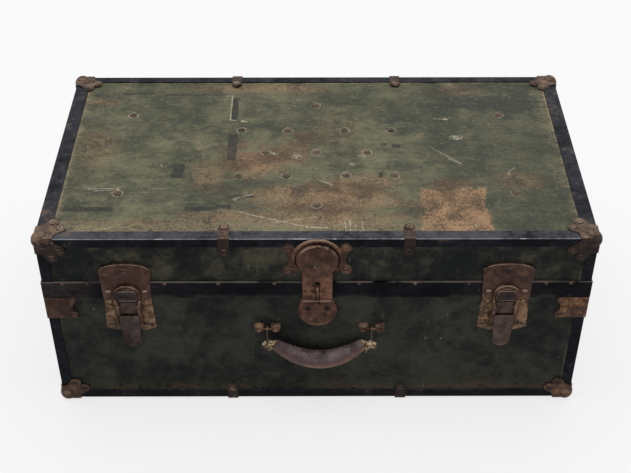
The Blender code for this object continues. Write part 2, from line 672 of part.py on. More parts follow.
def latch_hook():
    """The link: a knuckle on the link pin, a flat stem and a rolled head that lies in the keeper's arch."""
    back, face = STEM_STAND, STEM_STAND + STEM_THICKNESS
    shoulder = HEAD_BOTTOM - STEM_THICKNESS
    middle = (HEAD_BOTTOM + HEAD_TOP) / 2
    knuckle = arc((LINK_PIVOT_STAND, LINK_PIVOT_HEIGHT), STEM_THICKNESS, 150, 390, 8)
    stem = prism(knuckle + [(face, shoulder), (face, middle), (HEAD_BACK, middle), (back, shoulder)],
                 on_front_side, -STEM_HALF, STEM_HALF)
    belly = HEAD_BULGE - face
    bulge = arc((face, middle), 1, -90, 90, 6)
    rise = HEAD_TOP - middle
    roll = [(face + (u - face) * belly, middle + (v - middle) * rise) for u, v in bulge]
    head = prism(roll + [(HEAD_BACK, HEAD_TOP - STEM_THICKNESS), (HEAD_BACK, HEAD_BOTTOM)],
                 on_front_side, -HEAD_HALF - PAST, HEAD_HALF + PAST)
    arch = prism(notch_outline(HEAD_HALF, HEAD_BOTTOM - PAST), on_front, 0, HEAD_BULGE + PAST)
    join(stem, combine(head, arch, "INTERSECT"))
    hole = circle((LINK_PIVOT_STAND, LINK_PIVOT_HEIGHT), LINK_PIN_RADIUS + RUNNING_PLAY)
    return cut(stem, prism(hole, on_front_side, -HEAD_HALF, HEAD_HALF))


def link_pin():
    pin = circle((LINK_PIVOT_STAND, LINK_PIVOT_HEIGHT), LINK_PIN_RADIUS)
    return prism(pin, on_front_side, -EAR_OUTER, EAR_OUTER)


def latches(finishes, root, lid):
    for side, sign in SIDES.items():
        x = sign * LATCH_X
        pivot = empty(f"latch_lever_axis_{side}", on_front(x, LEVER_PIVOT_HEIGHT, LEVER_PIVOT_STAND), root)
        link = empty(f"latch_hook_axis_{side}", on_front(x, LINK_PIVOT_HEIGHT, LINK_PIVOT_STAND), pivot)
        part(moved(latch_keeper(), x), f"latch_keeper_{side}", finishes["keeper"], lid)
        part(moved(latch_base(), x), f"latch_base_{side}", finishes["latch_base"], root)
        part(moved(latch_lever(), x), f"latch_lever_{side}", finishes["lever"], pivot)
        part(moved(link_pin(), x), f"latch_link_pin_{side}", finishes["pin"], pivot)
        part(moved(latch_hook(), x), f"latch_hook_{side}", finishes["hook"], link)


def lock_receiver():
    """The lid's plate: a raised horseshoe rim with four riveted ears."""
    centre = (0, LOCK_CENTRE)
    below = LOCK_CENTRE - RING_END_DROP
    wide = RING_OUTER + PAST
    rim = prism(circle(centre, RING_OUTER, 32), on_front, SEAT_GAP, RING_STAND, chamfer=RECEIVER_SHEET / 2)
    cut(rim, prism(circle(centre, RING_INNER, 32), on_front, RECEIVER_SHEET + SEAT_GAP, RING_STAND + PAST))
    cut(rim, front_box(-wide, wide, LOCK_CENTRE - wide, below, -PAST, RING_STAND + PAST))
    for sx in (-1, 1):
        for sz in (-1, 1):
            spot = (sx * LOCK_EAR_X, LOCK_CENTRE + sz * LOCK_EAR_RISE)
            root = (sx * RING_INNER, LOCK_CENTRE + sz * LOCK_EAR_RISE / 2)
            ear = prism(circle(spot, LOCK_EAR_RADIUS, 12), on_front, SEAT_GAP, RECEIVER_SHEET)
            join(rim, ear)
            neck = [(root[0], root[1] - LOCK_EAR_RADIUS / 2), (root[0], root[1] + LOCK_EAR_RADIUS / 2)]
            neck += [(spot[0], spot[1] + LOCK_EAR_RADIUS / 2), (spot[0], spot[1] - LOCK_EAR_RADIUS / 2)]
            join(rim, prism(neck, on_front, SEAT_GAP * 2, RECEIVER_SHEET - SEAT_GAP))
    leg = TOP_Z - BINDING_LEG - SEAT_GAP - PARTING_Z
    high = LOCK_CENTRE + wide
    far = LOCK_EAR_X + LOCK_EAR_RADIUS + PAST
    return cut(rim, front_box(-far, far, leg, high, -PAST, BINDING_OUT + SEAT_GAP))


def lock_hasp():
    """The drop plate: a round case with the plug's bore, a slotted neck and a knuckle each side of the slot."""
    centre = (0, LOCK_CENTRE)
    hasp = prism(circle(centre, HASP_RADIUS, 32), on_front, HASP_STAND, HASP_STAND + HASP_CASE,
                 chamfer=HASP_CHAMFER)
    neck = [(-HASP_NECK_HALF, HASP_PIN_HEIGHT), (HASP_NECK_HALF, HASP_PIN_HEIGHT),
            (HASP_NECK_HALF, LOCK_CENTRE), (-HASP_NECK_HALF, LOCK_CENTRE)]
    join(hasp, prism(neck, on_front, HASP_STAND, HASP_STAND + HASP_SHEET))
    pin = (HASP_PIN_STAND, HASP_PIN_HEIGHT)
    join(hasp, prism(circle(pin, HASP_KNUCKLE_RADIUS), on_front_side, -HASP_NECK_HALF, HASP_NECK_HALF))
    slot = [(HASP_SLOT_HALF, HASP_PIN_HEIGHT - PAST)]
    slot += arc((0, HASP_SLOT_TOP - HASP_SLOT_HALF), HASP_SLOT_HALF, 0, 180, 6)
    slot += [(-HASP_SLOT_HALF, HASP_PIN_HEIGHT - PAST)]
    cut(hasp, prism(slot, on_front, HASP_STAND - PAST, HASP_STAND + HASP_CASE + PAST))
    hole = circle(pin, HASP_PIN_RADIUS + RUNNING_PLAY)
    cut(hasp, prism(hole, on_front_side, -HASP_NECK_HALF - PAST, HASP_NECK_HALF + PAST))
    bore = circle((0, LOCK_CENTRE - PLUG_DROP), PLUG_RADIUS + RUNNING_PLAY)
    return cut(hasp, prism(bore, on_front, HASP_STAND - PAST, HASP_STAND + HASP_CASE + PAST))


def lock_plug():
    """The key plug with its upright keyway."""
    spot = (0, LOCK_CENTRE - PLUG_DROP)
    face = HASP_STAND + HASP_CASE + PLUG_RISE
    plug = prism(circle(spot, PLUG_RADIUS), on_front, HASP_STAND, face)
    half, tall = KEYWAY_WIDTH / 2, KEYWAY_LENGTH / 2
    return cut(plug, front_box(-half, half, spot[1] - tall, spot[1] + tall, face - KEYWAY_DEPTH, face + PAST))


def lock_hinge_plate():
    """The base's plate: a dished round foot, lugs for the hasp pin and the padlock staple on its tab."""
    half, radius = LOCK_PLATE_HALF, LOCK_PLATE_RADIUS
    corner = math.degrees(math.acos(half / radius))
    bowl = arc((0, LOCK_PLATE_CENTRE), radius, corner, -180 - corner, 20)
    outline = [(half, LATCH_PLATE_TOP)] + bowl + [(-half, LATCH_PLATE_TOP)]
    plate = prism(outline, on_front, SEAT_GAP, LOCK_PLATE_STAND, chamfer=LOCK_PLATE_CHAMFER)
    sill = HASP_PIN_HEIGHT - POCKET_DROP
    inner = HASP_NECK_HALF + SIDE_PLAY
    floor = HASP_PIN_STAND - HASP_KNUCKLE_RADIUS - RUNNING_PLAY
    lug_face = HASP_PIN_STAND + HASP_PIN_RADIUS + LOCK_LUG / 2
    join(plate, front_box(-half, half, sill, LATCH_PLATE_TOP - SEAT_GAP, floor / 2, lug_face))
    cut(plate, front_box(-inner, inner, sill, LATCH_PLATE_TOP + PAST, floor, lug_face + PAST))
    hole = circle((HASP_PIN_STAND, HASP_PIN_HEIGHT), HASP_PIN_RADIUS + SEAT_GAP)
    cut(plate, prism(hole, on_front_side, -inner - LOCK_LUG * 2, inner + LOCK_LUG * 2))
    tab_back = VALANCE_STAND + SEAT_GAP
    tab_face = tab_back + STAPLE_TAB_SHEET
    reach = STAPLE_EYE_REACH
    eye, outer = STAPLE_EYE_RADIUS, STAPLE_EYE_RADIUS + STAPLE_BAR
    tab_half = HASP_SLOT_HALF - 2 * RUNNING_PLAY
    tab = front_box(-tab_half, tab_half, -VALANCE_OVERLAP - SEAT_GAP, STAPLE_HEIGHT + outer, tab_back, tab_face)
    foot = HASP_PIN_STAND - HASP_PIN_RADIUS - SEAT_GAP * 2
    join(tab, front_box(-tab_half, tab_half, sill - SEAT_GAP, LATCH_PLATE_TOP + SEAT_GAP * 4, floor / 2, foot))
    bow = [(tab_back + SEAT_GAP, STAPLE_HEIGHT - outer)] + arc((reach, STAPLE_HEIGHT), outer, -90, 90, 8)
    bow += [(tab_back + SEAT_GAP, STAPLE_HEIGHT + outer)]
    staple = prism(bow, on_front_side, -STAPLE_HALF, STAPLE_HALF)
    hollow = [(tab_face, STAPLE_HEIGHT - eye)] + arc((reach, STAPLE_HEIGHT), eye, -90, 90, 8)
    hollow += [(tab_face, STAPLE_HEIGHT + eye)]
    cut(staple, prism(hollow, on_front_side, -STAPLE_HALF - PAST, STAPLE_HALF + PAST))
    return join(plate, join(tab, staple))


def hasp_pin():
    reach = LOCK_PLATE_HALF - SEAT_GAP
    return prism(circle((HASP_PIN_STAND, HASP_PIN_HEIGHT), HASP_PIN_RADIUS), on_front_side, -reach, reach)


def hasp_lock(finishes, root, lid):
    hinge = empty("hasp_axis", on_front(LOCK_X, HASP_PIN_HEIGHT, HASP_PIN_STAND), root)
    plug = empty("plug_axis", on_front(LOCK_X, LOCK_CENTRE - PLUG_DROP, HASP_STAND), hinge)
    part(moved(lock_receiver(), LOCK_X), "lock_receiver", finishes["lock"], lid)
    part(moved(lock_hasp(), LOCK_X), "lock_hasp", finishes["lock"], hinge)
    part(moved(lock_plug(), LOCK_X), "lock_plug", finishes["plug"], plug)
    part(moved(lock_hinge_plate(), LOCK_X), "lock_hinge_plate", finishes["lock"], root)
    part(moved(hasp_pin(), LOCK_X), "hasp_pin", finishes["pin"], root)


def handle_loop():
    """Two riveted domes with the bridge that the wire link hangs on."""
    chamfer = LOOP_DOME_STAND / 3
    loop = None
    for sign in (-1, 1):
        spot = (sign * LOOP_DOME_OFFSET, LOOP_HEIGHT)
        dome = prism(circle(spot, LOOP_DOME_RADIUS), on_front, SEAT_GAP, LOOP_DOME_STAND, chamfer=chamfer)
        loop = join(loop, dome) if loop else dome
    low, high = BRIDGE_STAND - BRIDGE_THICKNESS / 2, BRIDGE_STAND + BRIDGE_THICKNESS / 2
    bridge = front_box(-LOOP_DOME_OFFSET, LOOP_DOME_OFFSET, LOOP_HEIGHT - BRIDGE_HALF,
                       LOOP_HEIGHT + BRIDGE_HALF, low, high)
    return join(loop, bridge)


def wire_link():
    """A long wire ring round the bridge and the grip's neck."""
    lean = math.degrees(math.atan2(-EYE_DROP, EYE_STAND_OUT))
    route = arc((BRIDGE_STAND, LOOP_HEIGHT), LINK_BEND_RADIUS, lean + 90, lean + 270, 10)
    route += arc((EYE_STAND, EYE_HEIGHT), LINK_BEND_RADIUS, lean - 90, lean + 90, 10)
    curve = bpy.data.curves.new("wire_link", "CURVE")
    curve.dimensions = "3D"
    curve.bevel_depth = WIRE_RADIUS
    curve.bevel_resolution = 2
    spline = curve.splines.new("POLY")
    spline.points.add(len(route) - 1)
    spline.use_cyclic_u = True
    for point, (u, v) in zip(spline.points, route):
        point.co = (*on_front_side(u, v, 0), 1)
    drawn = bpy.data.objects.new("wire_link", curve)
    bpy.context.scene.collection.objects.link(drawn)
    bpy.context.view_layer.update()
    graph = bpy.context.evaluated_depsgraph_get()
    mesh = bpy.data.meshes.new_from_object(drawn.evaluated_get(graph))
    bpy.data.objects.remove(drawn, do_unlink=True)
    bm = bmesh.new()
    bm.from_mesh(mesh)
    bmesh.ops.remove_doubles(bm, verts=bm.verts, dist=SEAT_GAP / 10)
    return object_from(bm)


def grip_stations():
    """Across, down the sag and radius along the grip, from one end knob to the other."""
    span = HANDLE_HALF_SPAN
    clear = WIRE_RADIUS + SEAT_GAP * 2
    knob, throat = span + clear, span - clear
    end = knob + GRIP_KNOB_LENGTH
    right = [(end, 0, GRIP_KNOB_RADIUS * 0.7), (end - MM, 0, GRIP_KNOB_RADIUS), (knob + MM, 0, GRIP_KNOB_RADIUS)]
    right += [(knob, 0, GRIP_NECK_RADIUS), (throat, 0, GRIP_NECK_RADIUS)]
    shoulder = throat - GRIP_SHOULDER_BACK
    for i in range(7):
        across = shoulder * (1 - i / 6)
        share = 1 - (across / shoulder) ** 2
        swell = GRIP_SHOULDER_RADIUS + (GRIP_RADIUS - GRIP_SHOULDER_RADIUS) * share ** 0.75
        right.append((across, GRIP_SAG * share, swell))
    return right + [(-a, s, r) for a, s, r in reversed(right[:-1])]


def handle_grip():
    """The stuffed leather grip, sagging between its two links."""
    lean_out = GRIP_MID_STAND - EYE_STAND
    fall = math.sqrt(GRIP_SAG ** 2 - lean_out ** 2)
    bm = bmesh.new()
    rings = []
    for across, sag, radius in grip_stations():
        share = sag / GRIP_SAG
        middle = (EYE_STAND + share * lean_out, EYE_HEIGHT - share * fall)
        loop = [bm.verts.new(on_front_side(u, v, across)) for u, v in circle(middle, radius)]
        rings.append([bm.edges.new((loop[i - 1], loop[i])) for i in range(len(loop))])
    for near, far in zip(rings, rings[1:]):
        bmesh.ops.bridge_loops(bm, edges=near + far)
    bmesh.ops.holes_fill(bm, edges=[e for e in bm.edges if e.is_boundary], sides=0)
    return object_from(bm)


def front_handle(finishes, root):
    swing = empty("handle_axis", on_front(HANDLE_X, LOOP_HEIGHT, BRIDGE_STAND), root)
    eye = empty("grip_axis", on_front(HANDLE_X, EYE_HEIGHT, EYE_STAND), swing)
    for side, sign in SIDES.items():
        x = HANDLE_X + sign * HANDLE_HALF_SPAN
        part(moved(handle_loop(), x), f"handle_loop_{side}", finishes["loop"], root)
        part(moved(wire_link(), x), f"handle_link_{side}", finishes["pin"], swing)
    part(moved(handle_grip(), HANDLE_X), "handle_grip", finishes["leather"], eye)


def hinge_leaf(up, spans):
    """A leaf on the back panel, above or below the parting line, with its knuckles over the given spans."""
    axis = (HINGE_AXIS_Y - FACE_Y, HINGE_AXIS_Z - PARTING_Z)
    clear = HINGE_KNUCKLE_RADIUS + SEAT_GAP
    half = HINGE_WIDTH / 2
    seat, face = SEAT_GAP, SEAT_GAP + HINGE_SHEET
    start, stop = sorted((axis[1] + up * clear, axis[1] + up * HINGE_LEAF))
    sheet = [(seat, start), (face, start), (face, stop), (seat, stop)]
    leaf = prism(sheet, on_back_side, -half, half)
    reach = axis[1] + up * (clear + HINGE_SHEET)
    for low, high in spans:
        join(leaf, prism(circle(axis, HINGE_KNUCKLE_RADIUS), on_back_side, low, high))
        low_v, high_v = sorted((axis[1] + up * HINGE_PIN_RADIUS, reach))
        web = [(HINGE_WALL_GAP, low_v), (face, low_v), (face, high_v), (HINGE_WALL_GAP, high_v)]
        join(leaf, prism(web, on_back_side, low, high))
        hole = circle(axis, HINGE_PIN_RADIUS + RUNNING_PLAY)
        cut(leaf, prism(hole, on_back_side, low - PAST, high + PAST))
    return leaf


def hinges(finishes, root, lid):
    half = HINGE_WIDTH / 2
    third = HINGE_WIDTH / 6
    axis = (HINGE_AXIS_Y - FACE_Y, HINGE_AXIS_Z - PARTING_Z)
    for side, sign in SIDES.items():
        x = sign * HINGE_X
        outer = [(-half, -third - SEAT_GAP), (third + SEAT_GAP, half)]
        part(moved(hinge_leaf(-1, outer), x), f"hinge_base_leaf_{side}", finishes["hinge"], root)
        part(moved(hinge_leaf(1, [(-third, third)]), x), f"hinge_lid_leaf_{side}", finishes["hinge"], lid)
        pin = prism(circle(axis, HINGE_PIN_RADIUS), on_back_side, -half, half)
        part(moved(pin, x), f"hinge_pin_{side}", finishes["pin"], root)


def main():
    for old in list(bpy.data.objects):
        bpy.data.objects.remove(old, do_unlink=True)
    rust = (0.16, 0.075, 0.035)
    finishes = {
        "panel": material("olive_fibre_board", (0.085, 0.085, 0.045), 0.75),
        "binding": material("black_vulcan_fibre", (0.02, 0.022, 0.024), 0.45),
        "guard": material("rusty_corner_steel", rust, 0.6, 0.6),
        "clip": material("rusty_clip_steel", rust, 0.6, 0.6),
        "clamp": material("rusty_clamp_steel", (0.12, 0.06, 0.03), 0.6, 0.6),
        "valance": material("black_painted_steel", (0.018, 0.018, 0.018), 0.4, 0.3),
        "keeper": material("brown_latch_steel", (0.14, 0.065, 0.03), 0.55, 0.6),
        "latch_base": material("ochre_latch_steel", (0.22, 0.11, 0.045), 0.6, 0.6),
        "lever": material("dark_lever_steel", (0.09, 0.05, 0.03), 0.4, 0.8),
        "hook": material("dark_hook_steel", (0.08, 0.045, 0.028), 0.4, 0.8),
        "pin": material("bare_pin_steel", (0.2, 0.17, 0.14), 0.45, 1.0),
        "lock": material("rusty_lock_steel", (0.17, 0.085, 0.045), 0.55, 0.6),
        "plug": material("brass_key_plug", (0.35, 0.24, 0.1), 0.45, 1.0),
        "loop": material("rusty_loop_steel", (0.2, 0.1, 0.045), 0.6, 0.6),
        "leather": material("brown_leather", (0.07, 0.04, 0.04), 0.5),
        "hinge": material("painted_hinge_steel", (0.05, 0.04, 0.03), 0.5, 0.6),
    }
    root = empty("footlocker", (0, 0, 0))
    lid = empty("lid_hinge_axis", (0, HINGE_AXIS_Y, HINGE_AXIS_Z), root)
    base_panels(finishes["panel"], root)
    lid_panels(finishes["panel"], lid)
    bindings(finishes["binding"], root, lid)
    corner_guards(finishes["guard"], root, lid)
    edge_clips(finishes["clip"], root, lid)
    corner_clamps(finishes["clamp"], root)
    valance(finishes["valance"], lid)
    latches(finishes, root, lid)
    hasp_lock(finishes, root, lid)
    front_handle(finishes, root)
    hinges(finishes, root, lid)
    root.location.y = CENTRE_Y


main()
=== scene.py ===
"""Looks of the footlocker: weathered boards, black bindings, rusted hardware and the worn leather grip.

Lengths are in metres in the frame's own axes: front towards -Y, up +Z, the floor at Z 0.
"""

import functools
import json
import math
import random

import bmesh
import bpy
from mathutils import Matrix, Vector, noise as lumps

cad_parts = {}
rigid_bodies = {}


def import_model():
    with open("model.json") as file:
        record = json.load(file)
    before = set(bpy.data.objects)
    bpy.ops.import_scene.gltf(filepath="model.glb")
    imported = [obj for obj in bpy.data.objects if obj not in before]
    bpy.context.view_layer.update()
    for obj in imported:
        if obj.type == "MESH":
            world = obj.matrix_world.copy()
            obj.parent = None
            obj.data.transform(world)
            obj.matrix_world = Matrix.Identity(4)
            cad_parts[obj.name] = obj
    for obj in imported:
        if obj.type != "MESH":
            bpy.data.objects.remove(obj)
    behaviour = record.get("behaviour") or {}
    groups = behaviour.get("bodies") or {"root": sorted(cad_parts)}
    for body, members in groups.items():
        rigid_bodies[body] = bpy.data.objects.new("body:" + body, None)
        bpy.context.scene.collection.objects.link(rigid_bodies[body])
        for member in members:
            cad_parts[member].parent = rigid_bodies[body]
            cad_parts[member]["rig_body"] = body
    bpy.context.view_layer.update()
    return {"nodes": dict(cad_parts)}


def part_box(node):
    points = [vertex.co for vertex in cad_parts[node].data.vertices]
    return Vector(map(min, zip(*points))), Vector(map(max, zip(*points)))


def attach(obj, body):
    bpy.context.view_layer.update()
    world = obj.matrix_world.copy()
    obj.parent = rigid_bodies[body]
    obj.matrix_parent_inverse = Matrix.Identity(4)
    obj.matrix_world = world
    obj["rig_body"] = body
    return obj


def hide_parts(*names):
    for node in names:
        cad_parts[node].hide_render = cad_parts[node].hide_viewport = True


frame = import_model()

MM = 0.001
FRONT, BACK, UP, DOWN = Vector((0, -1, 0)), Vector((0, 1, 0)), Vector((0, 0, 1)), Vector((0, 0, -1))
LEFT, RIGHT = Vector((-1, 0, 0)), Vector((1, 0, 0))
SIDES = {"left": -1, "right": 1}
ENDS = {"front": -1, "back": 1}
LEVELS = {"base": -1, "lid": 1}
CORNERS = [(end, side, sx, sy) for end, sy in ENDS.items() for side, sx in SIDES.items()]


def middle_of(name):
    low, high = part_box(name)
    return (low + high) / 2


def corner_of(name, way):
    """The corner of a node's box that lies towards way, a sign for each axis."""
    low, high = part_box(name)
    return Vector([(high if way[k] > 0 else low)[k] for k in range(3)])


# Faces of the boards, read from the frame
FRONT_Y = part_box("base_front_panel")[0].y
BACK_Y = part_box("base_back_panel")[1].y
INNER_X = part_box("base_right_panel")[0].x
INNER_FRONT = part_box("base_front_panel")[1].y
INNER_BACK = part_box("base_back_panel")[0].y
MIDDLE_Y = (FRONT_Y + BACK_Y) / 2
PARTING_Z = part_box("base_front_panel")[1].z
TOP_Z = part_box("lid_top_panel")[1].z
FLOOR_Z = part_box("base_bottom_panel")[0].z

LATCH_X = {side: middle_of(f"latch_keeper_{side}").x for side in SIDES}

# Widths of the binding as it is seen: across the top's ends, across its front and back, and up the corners
END_STRIP, SIDE_STRIP, UPRIGHT_STRIP = 22 * MM, 16 * MM, 16 * MM

# Inner edges of the binding on the lid's top, from the middle of the top
EDGE_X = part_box("lid_binding")[1].x - END_STRIP
EDGE_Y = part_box("lid_binding")[1].y - MIDDLE_Y - SIDE_STRIP

# Inner edge of the upright binding on the front and back
SEAM_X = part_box("base_binding")[1].x - UPRIGHT_STRIP

# Camera fitted to the trunk's corners in the photo, with angles in radians and the lens in millimetres
EYE = Vector((-3.36, -1455.21, 1368.27)) * MM
PITCH, YAW, ROLL = 0.69104, 0.00138, -0.00092
LENS = 67.24

# Share of plain white in the floor as it is seen, and the strength of the fill light
FLOOR_GLOW = 0.75
FILL = 0.45

# The softbox overhead: width and depth, place, the point it faces, and watts
LAMP_SIZE = 3.2, 2.4
LAMP_AT = Vector((0.0, 0.45, 2.8))
LAMP_AIM = Vector((0.0, 0.0, 0.3))
LAMP_WATTS = 55.0

# Rivets through the lid's top in millimetres about its middle, and how far forward they all sit
RIVETS_FORWARD = 3
RIVET_QUARTER = [(44, 59), (116, 59), (290, 101)]
TOP_RIVETS = [(0, 0), (0, 130), (0, -130), (77, 0), (-77, 0)]
TOP_RIVETS += [(x * sx, y * sy) for x, y in RIVET_QUARTER for sx in (-1, 1) for sy in (-1, 1)]
TOP_RIVETS = [Vector((x * MM, MIDDLE_Y + (y - RIVETS_FORWARD) * MM, TOP_Z)) for x, y in TOP_RIVETS]


class Field:
    """One value in a material's node tree, open to ordinary arithmetic."""

    def __init__(self, tree, socket):
        self.tree = tree
        self.socket = socket

    def node(self, kind, inputs, output=0, **settings):
        made = self.tree.nodes.new("ShaderNode" + kind)
        for name, value in settings.items():
            setattr(made, name, value)
        for key, value in inputs.items():
            if isinstance(value, Field):
                self.tree.links.new(value.socket, made.inputs[key])
            else:
                made.inputs[key].default_value = value
        return Field(self.tree, made.outputs[output])

    def __add__(self, other):
        return self.node("Math", {0: self, 1: other}, operation="ADD")

    def __sub__(self, other):
        return self.node("Math", {0: self, 1: other}, operation="SUBTRACT")

    def __rsub__(self, other):
        return self.node("Math", {0: other, 1: self}, operation="SUBTRACT")

    def __mul__(self, other):
        return self.node("Math", {0: self, 1: other}, operation="MULTIPLY")

    def __pow__(self, other):
        return self.node("Math", {0: self, 1: other}, operation="POWER")

    def fused(self, times, plus):
        return self.node("Math", {0: self, 1: times, 2: plus}, operation="MULTIPLY_ADD")

    def __abs__(self):
        return self.node("Math", {0: self}, operation="ABSOLUTE")

    __radd__ = __add__
    __rmul__ = __mul__


def grain(at, scale, detail=4.0, rough=0.55, warp=0.0):
    """Cloudy noise from 0 to 1, mostly near a half."""
    values = {"Vector": at, "Scale": scale, "Detail": detail, "Roughness": rough, "Distortion": warp}
    return at.node("TexNoise", values)


def stretched(at, scale, turn=0.0):
    """The same place measured on axes of other lengths, for streaks and scratches."""
    return at.node("Mapping", {"Vector": at, "Scale": scale, "Rotation": (0.0, 0.0, turn)})


def ease(value, low, high):
    """0 at low, 1 at high and smooth between, either way round."""
    limits = {0: value, 1: low, 2: high, 3: 0.0, 4: 1.0}
    return value.node("MapRange", limits, interpolation_type="SMOOTHSTEP")


def least(a, b):
    return a.node("Math", {0: a, 1: b}, operation="MINIMUM")


def most(a, b):
    return a.node("Math", {0: a, 1: b}, operation="MAXIMUM")


def distance(at, spot):
    return at.node("VectorMath", {0: at, 1: spot}, output=1, operation="DISTANCE")


def mix(a, b, share):
    """Colour a where share is 0 and colour b where it is 1."""
    colours = {key: value if isinstance(value, Field) else (*value, 1.0) for key, value in ((6, a), (7, b))}
    return share.node("Mix", {0: share, **colours}, output=2, data_type="RGBA")


def background_share(at):
    """1 for rays that show the background itself, 0 for those that carry its light onto the object."""
    kinds = ("Camera", "Glossy", "Transmission")
    return strongest(at.node("LightPath", {}, output=f"Is {kind} Ray") for kind in kinds)


def axes(at):
    return [at.node("SeparateXYZ", {0: at}, output=k) for k in range(3)]


def begin(name):
    """A new material and the place on the object that its pattern is drawn at."""
    made = bpy.data.materials.new(name)
    made.use_nodes = True
    tree = made.node_tree
    return made, Field(tree, tree.nodes.new("ShaderNodeTexCoord").outputs["Object"])


def facing(at):
    """How far the surface faces up, from -1 to 1, before any joint moves."""
    normal = Field(at.tree, at.socket.node.outputs["Normal"])
    return axes(normal)[2]


def finished(made, at, colour, roughness, metallic=0.0, height=None, depth=0.0, gloss=0.5):
    """Connects a pattern to the material's shader; height times depth is a relief in metres."""
    shader = made.node_tree.nodes["Principled BSDF"]
    shader.inputs["Specular IOR Level"].default_value = gloss
    values = {"Base Color": colour, "Roughness": roughness, "Metallic": metallic}
    if height is not None:
        values["Normal"] = at.node("Bump", {"Height": height, "Distance": depth, "Strength": 1.0})
    for key, value in values.items():
        if isinstance(value, Field):
            made.node_tree.links.new(value.socket, shader.inputs[key])
        else:
            shader.inputs[key].default_value = (*value, 1.0) if isinstance(value, tuple) else value
    return made


def patch(x, y, spot, edge):
    """1 inside a ragged oval given as centre x, centre y, half width and half depth in millimetres."""
    cx, cy, rx, ry = (v * MM for v in spot)
    u, v = x.fused(1 / rx, -cx / rx), y.fused(1 / ry, -cy / ry)
    return ease(v.fused(v, u * u) ** 0.5 + edge, 1.15, 0.45)


def strip(x, y, sides, soft=1.2):
    """1 inside a box given as low x, high x, low y, high y in millimetres."""
    x0, x1, y0, y1 = (v * MM for v in sides)
    across = abs(x - (x0 + x1) / 2) - (x1 - x0) / 2
    along = abs(y - (y0 + y1) / 2) - (y1 - y0) / 2
    return ease(most(across, along), soft * MM, -soft * MM)


def line(x, y, ends, width):
    """1 along a scratch from x, y to x, y, all in millimetres."""
    x0, y0, x1, y1 = (v * MM for v in ends)
    length = math.hypot(x1 - x0, y1 - y0)
    cos, sin = (x1 - x0) / length, (y1 - y0) / length
    cx, cy = (x0 + x1) / 2, (y0 + y1) / 2
    along = x.fused(cos, y.fused(sin, -cx * cos - cy * sin))
    across = y.fused(cos, x.fused(-sin, cx * sin - cy * cos))
    return ease(most(abs(across), abs(along) - length / 2), width * MM, width * 0.35 * MM)


def strongest(shares):
    """The largest of several shares at each place; each is used as it is made, to keep few values in hand."""
    return functools.reduce(most, shares)


def plywood(at):
    """Bare birch ply inside the boards and on their cut edges."""
    streaks = grain(stretched(at, (2.0, 26.0, 26.0)), 9.0, 5.0, 0.6, 0.4)
    stain = grain(at, 5.0, 3.0)
    wood = mix((0.21, 0.135, 0.07), (0.42, 0.31, 0.185), ease(streaks, 0.3, 0.7))
    return mix(wood, (0.13, 0.09, 0.055), ease(stain, 0.55, 0.75) * 0.6)


def inside_of(x, y):
    """1 on the faces that look into the trunk."""
    slack = 0.4 * MM
    between = ease(abs(x), INNER_X + slack, INNER_X - slack)
    behind = ease(y, INNER_FRONT - 2 * slack, INNER_FRONT - slack)
    before = ease(y, INNER_BACK + 2 * slack, INNER_BACK + slack)
    return between * behind * before


def wavered(drift, x, y, reach):
    """x and y from the middle of the top, moved by up to half of reach either way."""
    return drift[0].fused(reach, x - reach / 2), drift[1].fused(reach, y - (MIDDLE_Y + reach / 2))


# Marks on the lid's top, in millimetres about its middle: an oval is its centre and half sizes, a box its low
# and high x and its low and high y, a scratch its two ends; a strength or a width follows some of them
BROWN_SPOTS = [
    ((-88, -22, 62, 48), 0.85), ((-40, -10, 34, 40), 0.6), ((-35, -110, 85, 30), 0.6),
    ((-10, -165, 190, 32), 0.6), ((30, -118, 130, 42), 0.75), ((70, -80, 80, 26), 0.55),
    ((195, -86, 36, 18), 0.6), ((20, -165, 60, 30), 0.7), ((30, 60, 50, 70), 0.12),
    ((-90, 176, 120, 18), 0.5), ((-330, 4, 36, 60), 0.35), ((-340, 137, 26, 12), 0.5),
    ((300, -72, 40, 24), 0.4), ((-160, -60, 30, 44), 0.35), ((-250, -182, 120, 22), 0.4),
    ((230, 168, 60, 16), 0.3),
]
STAIN_SPOTS = [
    (-68, -6, 58, 34), (-118, -34, 44, 22), (48, -96, 74, 18), (196, -82, 44, 16), (10, -140, 60, 14),
    (-20, 30, 40, 26),
]
BROWN_BOX = (149, 246, -215, -96)
DARK_SPOTS = [
    ((300, 132, 110, 58), 0.9), ((140, -42, 50, 26), 0.6), ((126, -146, 32, 26), 0.65),
    ((206, 78, 80, 60), 0.45), ((262, -10, 70, 70), 0.4), ((-230, -104, 120, 34), 0.45),
    ((-270, 60, 70, 34), 0.3), ((-60, 100, 80, 50), 0.4), ((110, 120, 120, 60), 0.35),
    ((-100, -84, 60, 16), 0.4), ((330, -120, 60, 60), 0.3),
]
TAPE_MARKS = [
    (-136, -121.5, -24, 47), (-216, -197, -68, -31), (-363, -292, -147, -136), (-189, -142, -146, -136),
    (-145, -123, -141, -131), (-314, -262, 159, 164), (-248, -174, 157, 161), (-134, -124, 86, 150),
    (117, 129, 9, 18), (100, 108, 15, 22), (-131, -92, -117, -109), (93, 99, -66, -54),
]
